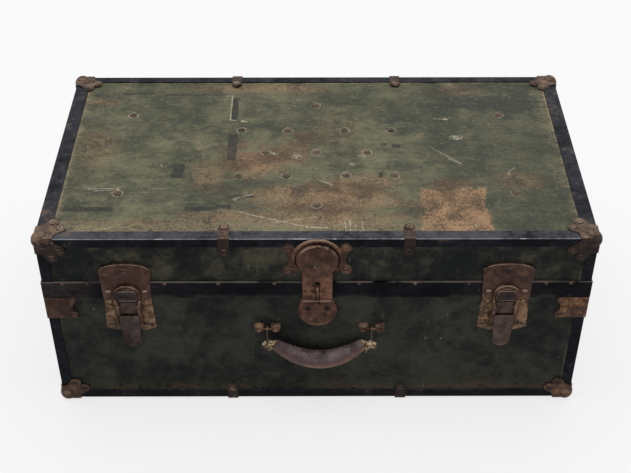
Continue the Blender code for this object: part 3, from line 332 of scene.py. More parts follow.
PALE_SCRATCHES = [
    ((-110, -149, -12, -183), 1.3), ((-14, -183, 20, -185), 1.8), ((-334, -93, -298, -93), 1.5),
    ((-325, -98, -300, -97), 1.0), ((-135.4, 86, -135.4, 155), 1.5), ((-148, 154.6, -135, 154.6), 1.2),
    ((-136, 86, -127, 84.6), 1.5), ((0, -71, 24, -85), 1.5), ((176, 9, 217, -31), 0.9),
    ((200, -20, 218, -34), 1.2), ((40, -172, 42, -196), 1.2), ((47, -168, 48, -196), 1.4),
    ((55, -176, 55, -196), 1.0), ((64, -170, 66, -196), 1.0), ((-328, -191, -286, -183), 1.0),
    ((-119, -117, -92, -107), 1.6), ((222, -176, 230, -190), 1.2), ((186, 88, 204, 86), 1.0),
    ((286, -52, 296, -44), 1.4), ((-60, -172, 0, -160), 0.9),
]
PALE_CHIPS = [
    (-113, 81, 6, 3), (53, -33, 5, 3), (70, -12, 7, 4), (-119, -118, 3, 4), (-290, -96, 5, 6),
    (204, 87, 4, 3), (217, 36, 13, 8), (-62, -6, 7, 4), (-30, -14, 9, 8), (60, -196, 30, 5),
    (286, -58, 3, 3), (-230, -36, 6, 3),
]


def top_board():
    """The lid's top: faded olive brushed along its length, brown wear, tape marks, scratches, rivet rings."""
    made, at = begin("weathered_top_board")
    x, y, z = axes(at)
    ragged = {"Vector": at, "Scale": 70.0, "Detail": 5.0, "Roughness": 0.7}
    drift = axes(at.node("TexNoise", ragged, output=1))
    line_x, line_y = wavered(drift, x, y, 3 * MM)
    x, y = wavered(drift, x, y, 14 * MM)
    cloud = grain(at, 7.0, 6.0, 0.65)
    mottle = grain(at, 42.0, 8.0, 0.75)
    fine = grain(at, 260.0, 5.0, 0.75)
    brushed = grain(stretched(at, (16.0, 62.0, 1.0), 0.04), 1.0, 9.0, 0.76, 0.5)
    threads = grain(stretched(at, (120.0, 330.0, 1.0), -0.03), 1.0, 4.0, 0.7)
    blots = grain(at, 21.0, 8.0, 0.72, 0.6)
    edge = (cloud - 0.5) * 2.0 + (mottle - 0.5) * 2.4 + (brushed - 0.5) * 1.6
    faded = ease(cloud * 0.3 + mottle * 0.2 + blots * 0.25 + brushed * 0.25, 0.42, 0.59)
    colour = mix((0.049, 0.053, 0.036), (0.156, 0.150, 0.091), faded)
    colour = mix(colour, (0.180, 0.165, 0.098), ease(blots * 0.6 + brushed * 0.4, 0.54, 0.66) * 0.55)
    dark = strongest(patch(x, y, spot, edge) * weight for spot, weight in DARK_SPOTS)
    dark = most(dark, ease(x + (cloud - 0.5) * 0.3, 0.08, 0.36) * ease(abs(x), 0.372, 0.34) * 0.45)
    colour = mix(colour, (0.040, 0.046, 0.036), dark)
    wear = strongest(patch(x, y, spot, edge) * weight for spot, weight in BROWN_SPOTS)
    boxed = strip(x, y, BROWN_BOX, 12.0) + (mottle - 0.5) * 1.6 + (blots - 0.5) * 1.8
    wear = most(wear, ease(boxed, 0.35, 0.8)) * ease(mottle * 0.3 + brushed * 0.3 + blots * 0.4, 0.33, 0.48)
    bloom = ease(mottle * 0.35 + fine * 0.35 + blots * 0.3, 0.42, 0.58)
    rusty = mix((0.092, 0.060, 0.037), (0.350, 0.218, 0.122), bloom)
    colour = mix(colour, rusty, wear)
    stain = strongest(patch(x, y, spot, edge) for spot in STAIN_SPOTS)
    colour = mix(colour, (0.082, 0.050, 0.034), stain * ease(mottle * 0.6 + fine * 0.4, 0.42, 0.56) * 0.95)
    near_front = ease(y + (mottle - 0.5) * 0.06, -0.145, -0.198)
    rim = most(near_front * ease(x, 0.20, 0.10), ease(abs(x) + (mottle - 0.5) * 0.03, 0.356, 0.378))
    colour = mix(colour, (0.270, 0.222, 0.138), rim * ease(brushed * 0.6 + fine * 0.4, 0.42, 0.6) * 0.8)
    by_ends = ease(abs(line_x), EDGE_X - 3.2 * MM, EDGE_X - 1.2 * MM)
    seam = most(by_ends, ease(abs(line_y), EDGE_Y - 2.6 * MM, EDGE_Y - 1.0 * MM))
    colour = mix(colour, (0.330, 0.270, 0.165), seam * ease(mottle * 0.5 + cloud * 0.5, 0.40, 0.54) * 0.8)
    colour = mix(colour, (0.026, 0.027, 0.023), ease(threads * 0.4 + fine * 0.6, 0.49, 0.38) * 0.6)
    colour = mix(colour, (0.300, 0.275, 0.190), ease(threads * 0.5 + fine * 0.5, 0.54, 0.66) * 0.5)
    tape = strongest(strip(x, y, sides) for sides in TAPE_MARKS)
    tape = tape * ease(fine * 0.4 + mottle * 0.3 + blots * 0.3, 0.38, 0.54)
    colour = mix(colour, (0.024, 0.026, 0.024), tape * 0.9)
    hair = ease(grain(stretched(at, (1.6, 46.0, 1.0), 0.3), 10.0, 2.0), 0.66, 0.71)
    hair = hair * ease(cloud, 0.5, 0.62) * 0.35
    scratch = strongest(line(line_x, line_y, ends, width) for ends, width in PALE_SCRATCHES)
    scratch = scratch * ease(fine * 0.5 + mottle * 0.5, 0.38, 0.56) * 0.8
    half_edge = edge * 0.5
    chips = strongest(patch(x, y, spot, half_edge) for spot in PALE_CHIPS)
    chips = chips * ease(fine * 0.6 + mottle * 0.4, 0.44, 0.56)
    pale = strongest([scratch, hair, chips])
    colour = mix(colour, (0.520, 0.480, 0.370), pale * 0.75)
    nearest = functools.reduce(least, (distance(at, spot) for spot in TOP_RIVETS))
    halo = nearest + (mottle - 0.5) * 0.022 + (blots - 0.5) * 0.010
    ring = ease(halo, 0.0092, 0.0070) * ease(fine * 0.4 + mottle * 0.6, 0.42, 0.53)
    colour = mix(colour, (0.400, 0.350, 0.250), ring * ease(blots, 0.40, 0.56).fused(0.6, 0.35))
    colour = mix(colour, (0.022, 0.018, 0.014), ease(nearest, 0.0066, 0.0056) * 0.85)
    below = ease(z, TOP_Z - 3 * MM, TOP_Z - 4 * MM)
    colour = mix(colour, plywood(at), below)
    relief = mottle * 0.5 + threads * 0.4 + fine * 0.4
    return finished(made, at, colour, 0.6 + (mottle - 0.5) * 0.4, height=relief, depth=0.45 * MM, gloss=0.12)


def side_board():
    """The four sides: a darker, grimier olive, darker partly as painted shade, scuffed along the edges."""
    made, at = begin("weathered_side_board")
    x, y, z = axes(at)
    cloud = grain(at, 6.5, 6.0, 0.65)
    mottle = grain(at, 34.0, 7.0, 0.72)
    fine = grain(at, 190.0, 4.0, 0.7)
    # Dark base tones, partly painted shade: the sides are darkened for the lesser light they get from overhead.
    colour = mix((0.008, 0.010, 0.010), (0.046, 0.048, 0.037), ease(cloud * 0.55 + mottle * 0.45, 0.40, 0.62))
    upper = ease(z, PARTING_Z + 20 * MM, PARTING_Z + 60 * MM)
    colour = mix(colour, (0.098, 0.078, 0.047), upper * ease(mottle * 0.6 + cloud * 0.4, 0.48, 0.62) * 0.6)
    low = ease(z + (mottle - 0.5) * 0.06, FLOOR_Z + 40 * MM, FLOOR_Z + 16 * MM)
    colour = mix(colour, (0.105, 0.074, 0.045), low * ease(fine * 0.5 + cloud * 0.5, 0.4, 0.58) * 0.55)
    colour = mix(colour, (0.006, 0.006, 0.006), ease(fine * 0.5 + mottle * 0.5, 0.46, 0.36) * 0.7)
    colour = mix(colour, (0.115, 0.105, 0.075), ease(fine * 0.6 + mottle * 0.4, 0.58, 0.68) * 0.5)
    hair = ease(grain(stretched(at, (60.0, 60.0, 9.0)), 2.0, 3.0), 0.66, 0.71)
    nick = most(ease(grain(stretched(at, (14.0, 14.0, 5.0)), 11.0, 3.0), 0.71, 0.75), hair * 0.3)
    colour = mix(colour, (0.330, 0.315, 0.260), nick * ease(fine, 0.46, 0.60) * ease(cloud, 0.42, 0.56) * 0.7)
    seam = ease(abs(x) + (mottle - 0.5) * 2 * MM, SEAM_X - 4.0 * MM, SEAM_X - 2.0 * MM)
    ends = ease(abs(x), SEAM_X + 6 * MM, SEAM_X + 4 * MM)
    colour = mix(colour, (0.120, 0.105, 0.066), seam * ends * ease(cloud, 0.42, 0.56) * 0.6)
    # Painted shadow: a near-black band along the parting line, mostly just below it, under the valance.
    parting_shadow = ease(abs(z - PARTING_Z + 1.6 * MM), 2.4 * MM, 1.2 * MM)
    colour = mix(colour, (0.004, 0.004, 0.004), parting_shadow * 0.9)
    rim = ease(abs(z - PARTING_Z), 0.9 * MM, 0.5 * MM)
    plies = ease(grain(stretched(at, (700.0, 700.0, 1.0)), 1.0, 1.0), 0.45, 0.55)
    edge_wood = mix((0.16, 0.10, 0.055), (0.33, 0.235, 0.14), plies)
    colour = mix(colour, plywood(at), inside_of(x, y))
    colour = mix(colour, edge_wood, rim)
    relief = mottle * 0.6 + fine * 0.4 - nick * 0.4
    return finished(made, at, colour, 0.55 + (mottle - 0.5) * 0.4, height=relief, depth=0.45 * MM, gloss=0.07)


def binding_fibre():
    """Blue-black fibre strip, greyed on its upward faces by dusty grime and painted sheen, most near the front
    edge, and lightened along its upper edges by wear and a painted highlight.
    """
    made, at = begin("black_binding_fibre")
    x, y = axes(at)[:2]
    cloud = grain(at, 14.0, 6.0, 0.65)
    mottle = grain(at, 60.0, 6.0, 0.7)
    fine = grain(at, 220.0, 5.0, 0.7)
    colour = mix((0.0035, 0.004, 0.006), (0.013, 0.014, 0.020), ease(cloud * 0.5 + mottle * 0.5, 0.42, 0.60))
    # Dusty grey and painted sheen on the upward faces, stronger near the front edge.
    up = facing(at)
    dust_and_sheen = ease(up, 0.55, 0.95) * (ease(y, FRONT_Y + 24 * MM, FRONT_Y + 14 * MM) * 0.62 + 0.38)
    dust_and_sheen = dust_and_sheen * ease(cloud * 0.4 + mottle * 0.4 + fine * 0.2, 0.36, 0.60)
    colour = mix(colour, (0.076, 0.080, 0.092), dust_and_sheen)
    # Painted highlight along the upper edges, uneven with wear.
    arris_highlight = ease(up, 0.2, 0.5) * ease(up, 0.93, 0.6)
    wear_and_highlight = ease(cloud * 0.5 + mottle * 0.5, 0.42, 0.56) * 0.55 + 0.4
    colour = mix(colour, (0.540, 0.540, 0.560), arris_highlight * wear_and_highlight)
    ends = ease(abs(x), EDGE_X, EDGE_X + 4 * MM) * ease(up, 0.5, 0.9)
    chip = ease(mottle * 0.6 + cloud * 0.4 + ends * 0.04, 0.57, 0.64) * ease(fine, 0.42, 0.56)
    colour = mix(colour, (0.150, 0.098, 0.068), chip * 0.7)
    # Painted glints along the front upper edge.
    painted_glint = ease(grain(at, 44.0, 2.0), 0.61, 0.66) * arris_highlight * ease(y, FRONT_Y + 4 * MM, FRONT_Y)
    colour = mix(colour, (0.700, 0.690, 0.670), painted_glint)
    relief = fine * 0.5 + mottle
    return finished(made, at, colour, 0.46 + (fine - 0.5) * 0.3, height=relief, depth=0.3 * MM, gloss=0.05)


def valance_paint():
    """Black painted steel strip with a rusty upper lip, lightened as a painted highlight."""
    made, at = begin("black_valance_paint")
    x, _, z = axes(at)
    low, high = (corner.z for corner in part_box("lid_valance"))
    cloud = grain(at, 16.0, 6.0, 0.65)
    fine = grain(at, 130.0, 5.0, 0.7)
    colour = mix((0.003, 0.003, 0.005), (0.012, 0.012, 0.015), ease(cloud, 0.40, 0.62))
    ends = ease(x + (cloud - 0.5) * 0.05, -0.305, -0.345) * ease(cloud * 0.5 + fine * 0.5, 0.38, 0.55)
    colour = mix(colour, (0.046, 0.034, 0.033), ends * 0.7)
    foot = ease(z + (fine - 0.5) * 0.016, low + 7 * MM, low + 1 * MM)
    colour = mix(colour, (0.046, 0.040, 0.040), foot * ease(cloud, 0.42, 0.56) * 0.7)
    # Painted highlight with some rust along the upper lip.
    lip = ease(z + (fine - 0.5) * 1.2 * MM, high - 1.1 * MM, high - 0.3 * MM)
    colour = mix(colour, (0.200, 0.165, 0.145), lip * ease(cloud, 0.36, 0.54))
    chip = ease(fine * 0.6 + cloud * 0.4, 0.59, 0.65)
    colour = mix(colour, (0.130, 0.070, 0.045), chip * 0.7)
    relief = fine + cloud
    return finished(made, at, colour, 0.46 + (fine - 0.5) * 0.3, height=relief, depth=0.3 * MM, gloss=0.04)


def rusted(name, dark, brown, ochre, roughness, metallic, ochre_from, wear_and_highlight, shade=0.0, band=None):
    """Steel that has lost its plating: dark ground, brown bloom and ochre rust, pits, and pale upper edges,
    partly wear and partly painted highlight.

    Ochre shows where the noise passes ochre_from; shade is painted shade that darkens what doesn't face up;
    band is a span of z with more ochre.
    """
    made, at = begin(name)
    cloud = grain(at, 26.0, 5.0, 0.6, 0.4)
    mottle = grain(at, 90.0, 6.0, 0.7)
    fine = grain(at, 420.0, 4.0, 0.7)
    colour = mix(dark, brown, ease(cloud * 0.5 + mottle * 0.5, 0.41, 0.58))
    colour = mix(colour, ochre, ease(cloud * 0.35 + mottle * 0.65, ochre_from, ochre_from + 0.11) * 0.9)
    up = facing(at)
    if shade:
        # Painted shade: what doesn't face up is darkened as if out of the overhead light.
        painted_side_shade = ease(up, 0.97, 0.72) * ease(mottle * 0.5 + cloud * 0.5, 0.66, 0.52)
        colour = mix(colour, (0.020, 0.012, 0.010), painted_side_shade * shade)
    # Pale upward slopes, partly scuffed wear and partly painted highlight from the light overhead.
    worn = ease(up, 0.15, 0.65) * (1.0 - 0.6 * shade) * ease(up, 0.995, 0.9)
    worn = worn * ease(mottle * 0.5 + cloud * 0.5, 0.36, 0.52)
    colour = mix(colour, (0.330, 0.235, 0.170), worn * wear_and_highlight)
    if band:
        z = axes(at)[2] + (cloud - 0.5) * 0.03
        within = ease(z, band[0] - 2 * MM, band[0] + 4 * MM) * ease(z, band[1], band[0] + 6 * MM)
        colour = mix(colour, ochre, within * ease(mottle, 0.40, 0.56) * 0.75)
    pits = ease(mottle * 0.5 + fine * 0.5, 0.44, 0.36)
    colour = mix(colour, (0.008, 0.005, 0.004), pits * 0.8)
    relief = mottle * 0.6 + fine * 0.5 - pits * 0.7
    dull = roughness - ease(cloud, 0.62, 0.45) * 0.14 + (fine - 0.5) * 0.2
    return finished(made, at, colour, dull, metallic, height=relief, depth=0.4 * MM, gloss=0.12)


def leather():
    """Purple-brown leather, finely crazed along the bend and scuffed to orange-brown along the lower edge, with
    painted shade on its lower side and a painted highlight along its top.
    """
    made, at = begin("worn_leather")
    x = axes(at)[0]
    cloud = grain(at, 34.0, 5.0, 0.65)
    fine = grain(at, 300.0, 5.0, 0.7)
    rings = grain(stretched(at, (520.0, 90.0, 90.0)), 1.0, 4.0, 0.65, 0.6)
    crazing = {"Vector": stretched(at, (2.6, 1.0, 1.0)), "Scale": 420.0}
    cracks = at.node("TexVoronoi", crazing, feature="DISTANCE_TO_EDGE")
    lines = ease(cracks, 0.10, 0.02) * ease(cloud, 0.46, 0.58)
    faded = ease(cloud * 0.55 + fine * 0.2 + rings * 0.25, 0.42, 0.58)
    colour = mix((0.060, 0.037, 0.039), (0.205, 0.146, 0.150), faded)
    up = facing(at)
    turn = up + (cloud - 0.5) * 0.7
    # Painted shade on the grip's lower side.
    colour = mix(colour, (0.082, 0.040, 0.036), ease(turn, 0.72, 0.30) * 0.75)
    rub = ease(turn - x * 3.0, 0.28, -0.2) * ease(fine * 0.3 + rings * 0.3 + cloud * 0.4, 0.42, 0.58)
    colour = mix(colour, (0.250, 0.108, 0.056), rub * 0.85)
    colour = mix(colour, (0.024, 0.014, 0.014), lines * 0.35)
    # Painted highlight along the top of the grip, mixed in with the pale flecks.
    painted_top_highlight = ease(up, 0.62, 0.9) * ease(cloud * 0.6 + fine * 0.4, 0.42, 0.55)
    pale = most(ease(fine * 0.6 + rings * 0.4, 0.59, 0.66), painted_top_highlight * 0.7)
    colour = mix(colour, (0.330, 0.265, 0.245), pale * 0.5)
    relief = fine * 0.4 + rings * 0.5 - lines * 0.3
    return finished(made, at, colour, 0.5 + (fine - 0.5) * 0.3, height=relief, depth=0.35 * MM, gloss=0.3)


def twine():
    made, at = begin("frayed_twine")
    strands = grain(at, 300.0, 4.0, 0.65)
    cloud = grain(at, 110.0, 4.0, 0.65)
    pale = ease(strands * 0.45 + cloud * 0.55, 0.41, 0.56)
    colour = mix((0.150, 0.095, 0.048), (0.760, 0.610, 0.400), pale)
    return finished(made, at, colour, 0.9, height=strands, depth=0.5 * MM, gloss=0.1)


def plug_brass():
    made, at = begin("dull_plug_brass")
    cloud = grain(at, 220.0, 5.0, 0.65)
    colour = mix((0.030, 0.022, 0.015), (0.125, 0.090, 0.055), ease(cloud, 0.4, 0.62))
    return finished(made, at, colour, 0.45, 0.7, cloud, 0.15 * MM)


# Span of z over which the lock shows more ochre
LOCK_BAND = PARTING_Z + 2 * MM, PARTING_Z + 52 * MM

FINISHES = {
    "top": top_board(),
    "side": side_board(),
    "binding": binding_fibre(),
    "valance": valance_paint(),
    "guard": rusted("rusted_guard", (0.050, 0.031, 0.023), (0.135, 0.090, 0.064), (0.240, 0.158, 0.102),
                    roughness=0.55, metallic=0.2, ochre_from=0.52, wear_and_highlight=0.35, shade=0.9),
    "guard_low": rusted("ochre_guard", (0.050, 0.027, 0.018), (0.130, 0.075, 0.046), (0.230, 0.135, 0.075),
                        roughness=0.6, metallic=0.15, ochre_from=0.52, wear_and_highlight=0.5),
    "ring": rusted("rubbed_rivet", (0.110, 0.078, 0.056), (0.260, 0.190, 0.140), (0.380, 0.290, 0.210),
                   roughness=0.5, metallic=0.25, ochre_from=0.52, wear_and_highlight=0.5, shade=0.9),
    "clamp": rusted("rusted_clamp", (0.038, 0.018, 0.013), (0.092, 0.046, 0.033), (0.165, 0.082, 0.050),
                    roughness=0.6, metallic=0.15, ochre_from=0.53, wear_and_highlight=0.5),
    "clamp_ochre": rusted("ochre_clamp", (0.056, 0.029, 0.018), (0.170, 0.084, 0.044), (0.290, 0.160, 0.078),
                          roughness=0.6, metallic=0.15, ochre_from=0.49, wear_and_highlight=0.5),
    "keeper": rusted("brown_keeper", (0.044, 0.021, 0.015), (0.092, 0.046, 0.033), (0.155, 0.087, 0.060),
                     roughness=0.5, metallic=0.2, ochre_from=0.54, wear_and_highlight=1.0),
    "latch": rusted("ochre_latch", (0.064, 0.036, 0.023), (0.176, 0.104, 0.062), (0.310, 0.190, 0.105),
                    roughness=0.6, metallic=0.2, ochre_from=0.47, wear_and_highlight=0.6),
    "lever": rusted("dark_lever", (0.026, 0.015, 0.013), (0.076, 0.046, 0.039), (0.155, 0.090, 0.064),
                    roughness=0.42, metallic=0.3, ochre_from=0.55, wear_and_highlight=0.7),
    "head": rusted("dark_head", (0.011, 0.007, 0.007), (0.032, 0.020, 0.019), (0.090, 0.056, 0.044),
                   roughness=0.42, metallic=0.3, ochre_from=0.56, wear_and_highlight=0.8),
    "clip": rusted("rusted_clip", (0.034, 0.020, 0.016), (0.092, 0.058, 0.043), (0.200, 0.130, 0.088),
                   roughness=0.55, metallic=0.2, ochre_from=0.53, wear_and_highlight=0.7, shade=0.8),
    "lock": rusted("rusted_lock", (0.046, 0.021, 0.015), (0.112, 0.054, 0.037), (0.230, 0.112, 0.064),
                   roughness=0.52, metallic=0.2, ochre_from=0.53, wear_and_highlight=0.7, band=LOCK_BAND),
    "loop": rusted("rusted_loop", (0.062, 0.030, 0.020), (0.160, 0.078, 0.047), (0.270, 0.145, 0.080),
                   roughness=0.6, metallic=0.15, ochre_from=0.49, wear_and_highlight=0.5),
    "rivet": rusted("rusted_rivet", (0.042, 0.025, 0.019), (0.115, 0.068, 0.048), (0.215, 0.138, 0.088),
                    roughness=0.5, metallic=0.25, ochre_from=0.52, wear_and_highlight=0.7),
    "stud": rusted("dark_top_rivet", (0.018, 0.011, 0.010), (0.054, 0.032, 0.027), (0.120, 0.076, 0.056),
                   roughness=0.5, metallic=0.2, ochre_from=0.54, wear_and_highlight=0.4),
    # A near-black finish for painted shadow in gaps and holes.
    "shadow_black": rusted("painted_recess_shadow", (0.005, 0.004, 0.004), (0.011, 0.008, 0.008), (0.024, 0.016, 0.013),
                   roughness=0.6, metallic=0.0, ochre_from=0.56, wear_and_highlight=0.0),
    "pin": rusted("dull_wire", (0.060, 0.045, 0.036), (0.150, 0.108, 0.080), (0.260, 0.190, 0.135),
                  roughness=0.45, metallic=0.5, ochre_from=0.52, wear_and_highlight=0.8),
    "hinge": rusted("dark_hinge", (0.024, 0.020, 0.018), (0.056, 0.041, 0.034), (0.140, 0.077, 0.048),
                    roughness=0.5, metallic=0.3, ochre_from=0.56, wear_and_highlight=0.5),
    "plug": plug_brass(),
    "leather": leather(),
    "twine": twine(),
}

# Finish of each node of the frame, by the first part of a name that fits
NODE_FINISHES = [
    ("lid_top_panel", "top"), ("_panel", "side"), ("_binding", "binding"), ("lid_valance", "valance"),
    ("base_corner_guard_", "guard_low"), ("lid_corner_guard_", "guard"), ("_edge_clip_", "clip"),
    ("_corner_clamp_", "clamp"), ("latch_keeper_", "keeper"), ("latch_base_", "latch"),
    ("latch_lever_", "lever"), ("latch_hook_", "lever"), ("latch_link_pin_", "pin"), ("lock_plug", "plug"),
    ("lock_", "lock"), ("hasp_pin", "pin"), ("handle_loop_", "loop"), ("handle_link_", "pin"),
    ("handle_grip", "leather"), ("hinge_pin_", "pin"), ("hinge_", "hinge"),
]


def paint_frame():
    for name, node in frame["nodes"].items():
        finish = next(finish for part, finish in NODE_FINISHES if part in name)
        for place in node.material_slots:
            place.material = FINISHES[finish]


def piece(name, bm, finish, body, slot, stands_for=(), crease=40):
    """A finished mesh that rides on one body of the frame."""
    bmesh.ops.recalc_face_normals(bm, faces=bm.faces)
    mesh = bpy.data.meshes.new(name)
    bm.to_mesh(mesh)
    bm.free()
    mesh.materials.append(FINISHES[finish])
    mesh.shade_smooth()
    mesh.set_sharp_from_angle(angle=math.radians(crease))
    made = bpy.data.objects.new(name, mesh)
    bpy.context.scene.collection.objects.link(made)
    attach(made, body)
    if stands_for:
        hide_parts(*stands_for)
    return made


# No turned shape reaches further than this from its foot
TURNED_REACH = 60 * MM


def turned(bm, profile, at, up, steps):
    """Turns a profile of radius and height pairs about an axis; the profile starts and ends on the axis."""
    across = up.orthogonal().normalized()
    points = [bm.verts.new(at + across * r + up * h) for r, h in profile]
    edges = [bm.edges.new(pair) for pair in zip(points, points[1:])]
    bmesh.ops.spin(bm, geom=points + edges, cent=at, axis=up, angle=math.tau, steps=steps, use_merge=True)
    near = [v for v in bm.verts if v.link_faces and (v.co - at).length < TURNED_REACH]
    bmesh.ops.remove_doubles(bm, verts=near, dist=0.01 * MM)


# How far a rivet's head reaches below the face it sits on
RIVET_SINK = 0.4 * MM


def domed(radius, rise):
    """A plain round rivet head."""
    arc = [(radius * math.cos(a), rise * math.sin(a)) for a in (math.radians(9 * i) for i in range(10))]
    return [(0, -RIVET_SINK), (radius, -RIVET_SINK)] + arc + [(0, rise)]


def hollow(radius, rise):
    """A tubular rivet: a rolled rim round a sunken middle."""
    rim = [(1.0, 0.0), (0.97, 0.55), (0.86, 0.92), (0.72, 1.0), (0.58, 0.86), (0.48, 0.45), (0.30, 0.22)]
    face = [(radius * r, rise * h) for r, h in rim]
    return [(0, -RIVET_SINK), (radius, -RIVET_SINK)] + face + [(0, rise * 0.2)]


def rivets(name, spots, profile, finish, body, slot, steps=20, core=0.0):
    """Rivet heads at places and directions; a core is a dark plug over that share of the head's radius, painted
    shade in the head's hollow.
    """
    bm = bmesh.new()
    for at, up in spots:
        turned(bm, profile, at, up, steps)
    piece(name, bm, finish, body, slot)
    # The cores are painted shade over the sunken middles of the heads.
    if core:
        radius, rise = max(r for r, h in profile) * core, max(h for r, h in profile) * 0.5
        rivets(f"{name}_cores", spots, domed(radius, rise), "stud", body, slot, 14)


def on_latch(side, across, height, stand):
    """A place on a latch: across from its middle, up from the parting line, out from the front board."""
    return Vector((LATCH_X[side] + across * MM, FRONT_Y - stand * MM, PARTING_Z + height * MM))


# Nails along the valance in millimetres: out from the middle of the front, along each end, and below the lip
FRONT_NAILS = (364, 328, 218, 141, 60.5)
END_NAILS = (-150, -75, 0, 75, 150)
NAIL_DROP = 2.6


def lid_rivets():
    spots = [(at, UP) for at in TOP_RIVETS]
    rivets("lid_top_rivets", spots, hollow(5.2 * MM, 1.5 * MM), "stud", "lid", "corner_steel", 24)
    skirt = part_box("lid_valance")
    z = skirt[1].z - NAIL_DROP * MM
    nails = [(Vector((x * sign * MM, skirt[0].y, z)), FRONT) for x in FRONT_NAILS for sign in (-1, 1)]
    for sign, out in ((-1, LEFT), (1, RIGHT)):
        nails += [(Vector((sign * skirt[1].x, MIDDLE_Y + y * MM, z)), out) for y in END_NAILS]
    rivets("lid_valance_nails", nails, domed(2.7 * MM, 1.1 * MM), "rivet", "lid", "valance_steel", 14)


def on_guard(corner, way, flat, a, b):
    """A place on one flat of a guard, a and b millimetres in from the trunk's corner, and the way out."""
    reach = [a, b]
    reach.insert(flat, 0)
    out = Vector([way[k] if k == flat else 0 for k in range(3)])
    return corner - Vector([reach[k] * way[k] for k in range(3)]) * MM, out


# Corner rivets in millimetres: in from the trunk's corner on a guard and out from the binding, in from the
# edge on a clip, in from the corner on a clamp and down from its upper edge
GUARD_RIVETS = ((34, 22), (22, 34))
GUARD_SKIN = 1.5
CLIP_RIVET = 24.9
CLAMP_RIVET = 39
CLAMP_RIVET_DROPS = (8, 31)


def corner_rivets():
    """Two rivets in each paw of the guards, two in each leg of the clamps, one in each lobe of the clips."""
    for level, up in LEVELS.items():
        guard_spots, clip_spots = [], []
        for end, side, sx, sy in CORNERS:
            way = Vector((sx, sy, up))
            corner = corner_of(f"{level}_binding", way)
            for a, b in GUARD_RIVETS:
                for flat in range(3):
                    at, out = on_guard(corner, way, flat, a, b)
                    guard_spots.append((at + out * GUARD_SKIN * MM, out))
            clip = f"{level}_edge_clip_{end}_{side}"
            edge = corner_of(clip, way)
            edge.x = middle_of(clip).x
            clip_spots.append((edge - UP * up * CLIP_RIVET * MM, BACK * sy))
            clip_spots.append((edge - BACK * sy * CLIP_RIVET * MM, UP * up))
        for part, spots, radius in (("guard", guard_spots, 4.8), ("clip", clip_spots, 5.0)):
            head = hollow(radius * MM, 1.5 * MM)
            rivets(f"{level}_{part}_rivets", spots, head, "ring", level, "corner_steel", core=0.42)
    clamp_spots = []
    for end, side, sx, sy in CORNERS:
        corner = corner_of(f"base_corner_clamp_{end}_{side}", (sx, sy, 1))
        for drop in CLAMP_RIVET_DROPS:
            at = corner - UP * drop * MM
            clamp_spots.append((at - RIGHT * sx * CLAMP_RIVET * MM, BACK * sy))
            clamp_spots.append((at - BACK * sy * CLAMP_RIVET * MM, RIGHT * sx))
    rivets("base_clamp_rivets", clamp_spots, hollow(4.2 * MM, 1.2 * MM), "clamp", "base", "corner_steel")


# Rivets beside a latch, in millimetres from its middle
LATCH_RIVET_SIDES = (-26, 26)


def latch_rivets():
    for side in SIDES:
        keeper = [(on_latch(side, 0, 51, 5.0), FRONT)]
        rivets(f"latch_keeper_rivet_{side}", keeper, hollow(5.0 * MM, 1.8 * MM), "stud", "lid", "latch_steel")
        for name, height, stand, head, finish, body in (
                ("keeper_studs", 10.5, 5.0, domed(5.2 * MM, 3.6 * MM), "keeper", "lid"),
                ("base_studs", -9.5, 2.1, domed(4.6 * MM, 3.2 * MM), "latch", "base"),
                ("base_rivets", -54, 2.1, hollow(5.0 * MM, 1.7 * MM), "keeper", "base")):
            spots = [(on_latch(side, across, height, stand), FRONT) for across in LATCH_RIVET_SIDES]
            rivets(f"latch_{name}_{side}", spots, head, finish, body, "latch_steel")


def on_lock(across, height, stand):
    """A place on the lock: across from its middle, up from the parting line, out from the front board."""
    middle = middle_of("lock_receiver").x
    return Vector((middle + across * MM, FRONT_Y - stand * MM, PARTING_Z + height * MM))


def lock_rivets():
    ears = [(on_lock(across, height, 2.2), FRONT) for across in (-40.5, 40.5) for height in (50, 90)]
    rivets("lock_ear_rivets", ears, hollow(4.8 * MM, 1.4 * MM), "lock", "lid", "lock_steel")
    bead = [(on_lock(u, v, 5.0), 1.3 * MM) for u, v in rounded((0, -26.3), 27.0, 165, 375, 36)]
    wires("lock_plate_bead", [bead], "lock", "base", "lock_steel")
    # Near-black heads on the lower plate stand for the dark of its two holes: painted shade.
    feet = [(on_lock(across, -21.5, 5.4), FRONT) for across in (-13.6, 13.6)]
    rivets("lock_plate_rivets", feet, hollow(4.2 * MM, 0.7 * MM), "shadow_black", "base", "lock_steel")


# Rivets of a hinge leaf in millimetres: across from its middle, away from the parting line; the leaf's stand
HINGE_RIVETS = ((-23, 30), (0, 17), (23, 30))
HINGE_LEAF = 1.9


def hinge_rivets():
    for level, up in LEVELS.items():
        spots = []
        for side in SIDES:
            middle = middle_of(f"hinge_{level}_leaf_{side}").x
            for across, rise in HINGE_RIVETS:
                at = Vector((middle + across * MM, BACK_Y + HINGE_LEAF * MM, PARTING_Z + up * rise * MM))
                spots.append((at, BACK))
        rivets(f"hinge_{level}_rivets", spots, domed(4.0 * MM, 1.5 * MM), "hinge", level, "hinge_steel")


def everything(bm):
    return list(bm.verts) + list(bm.edges) + list(bm.faces)


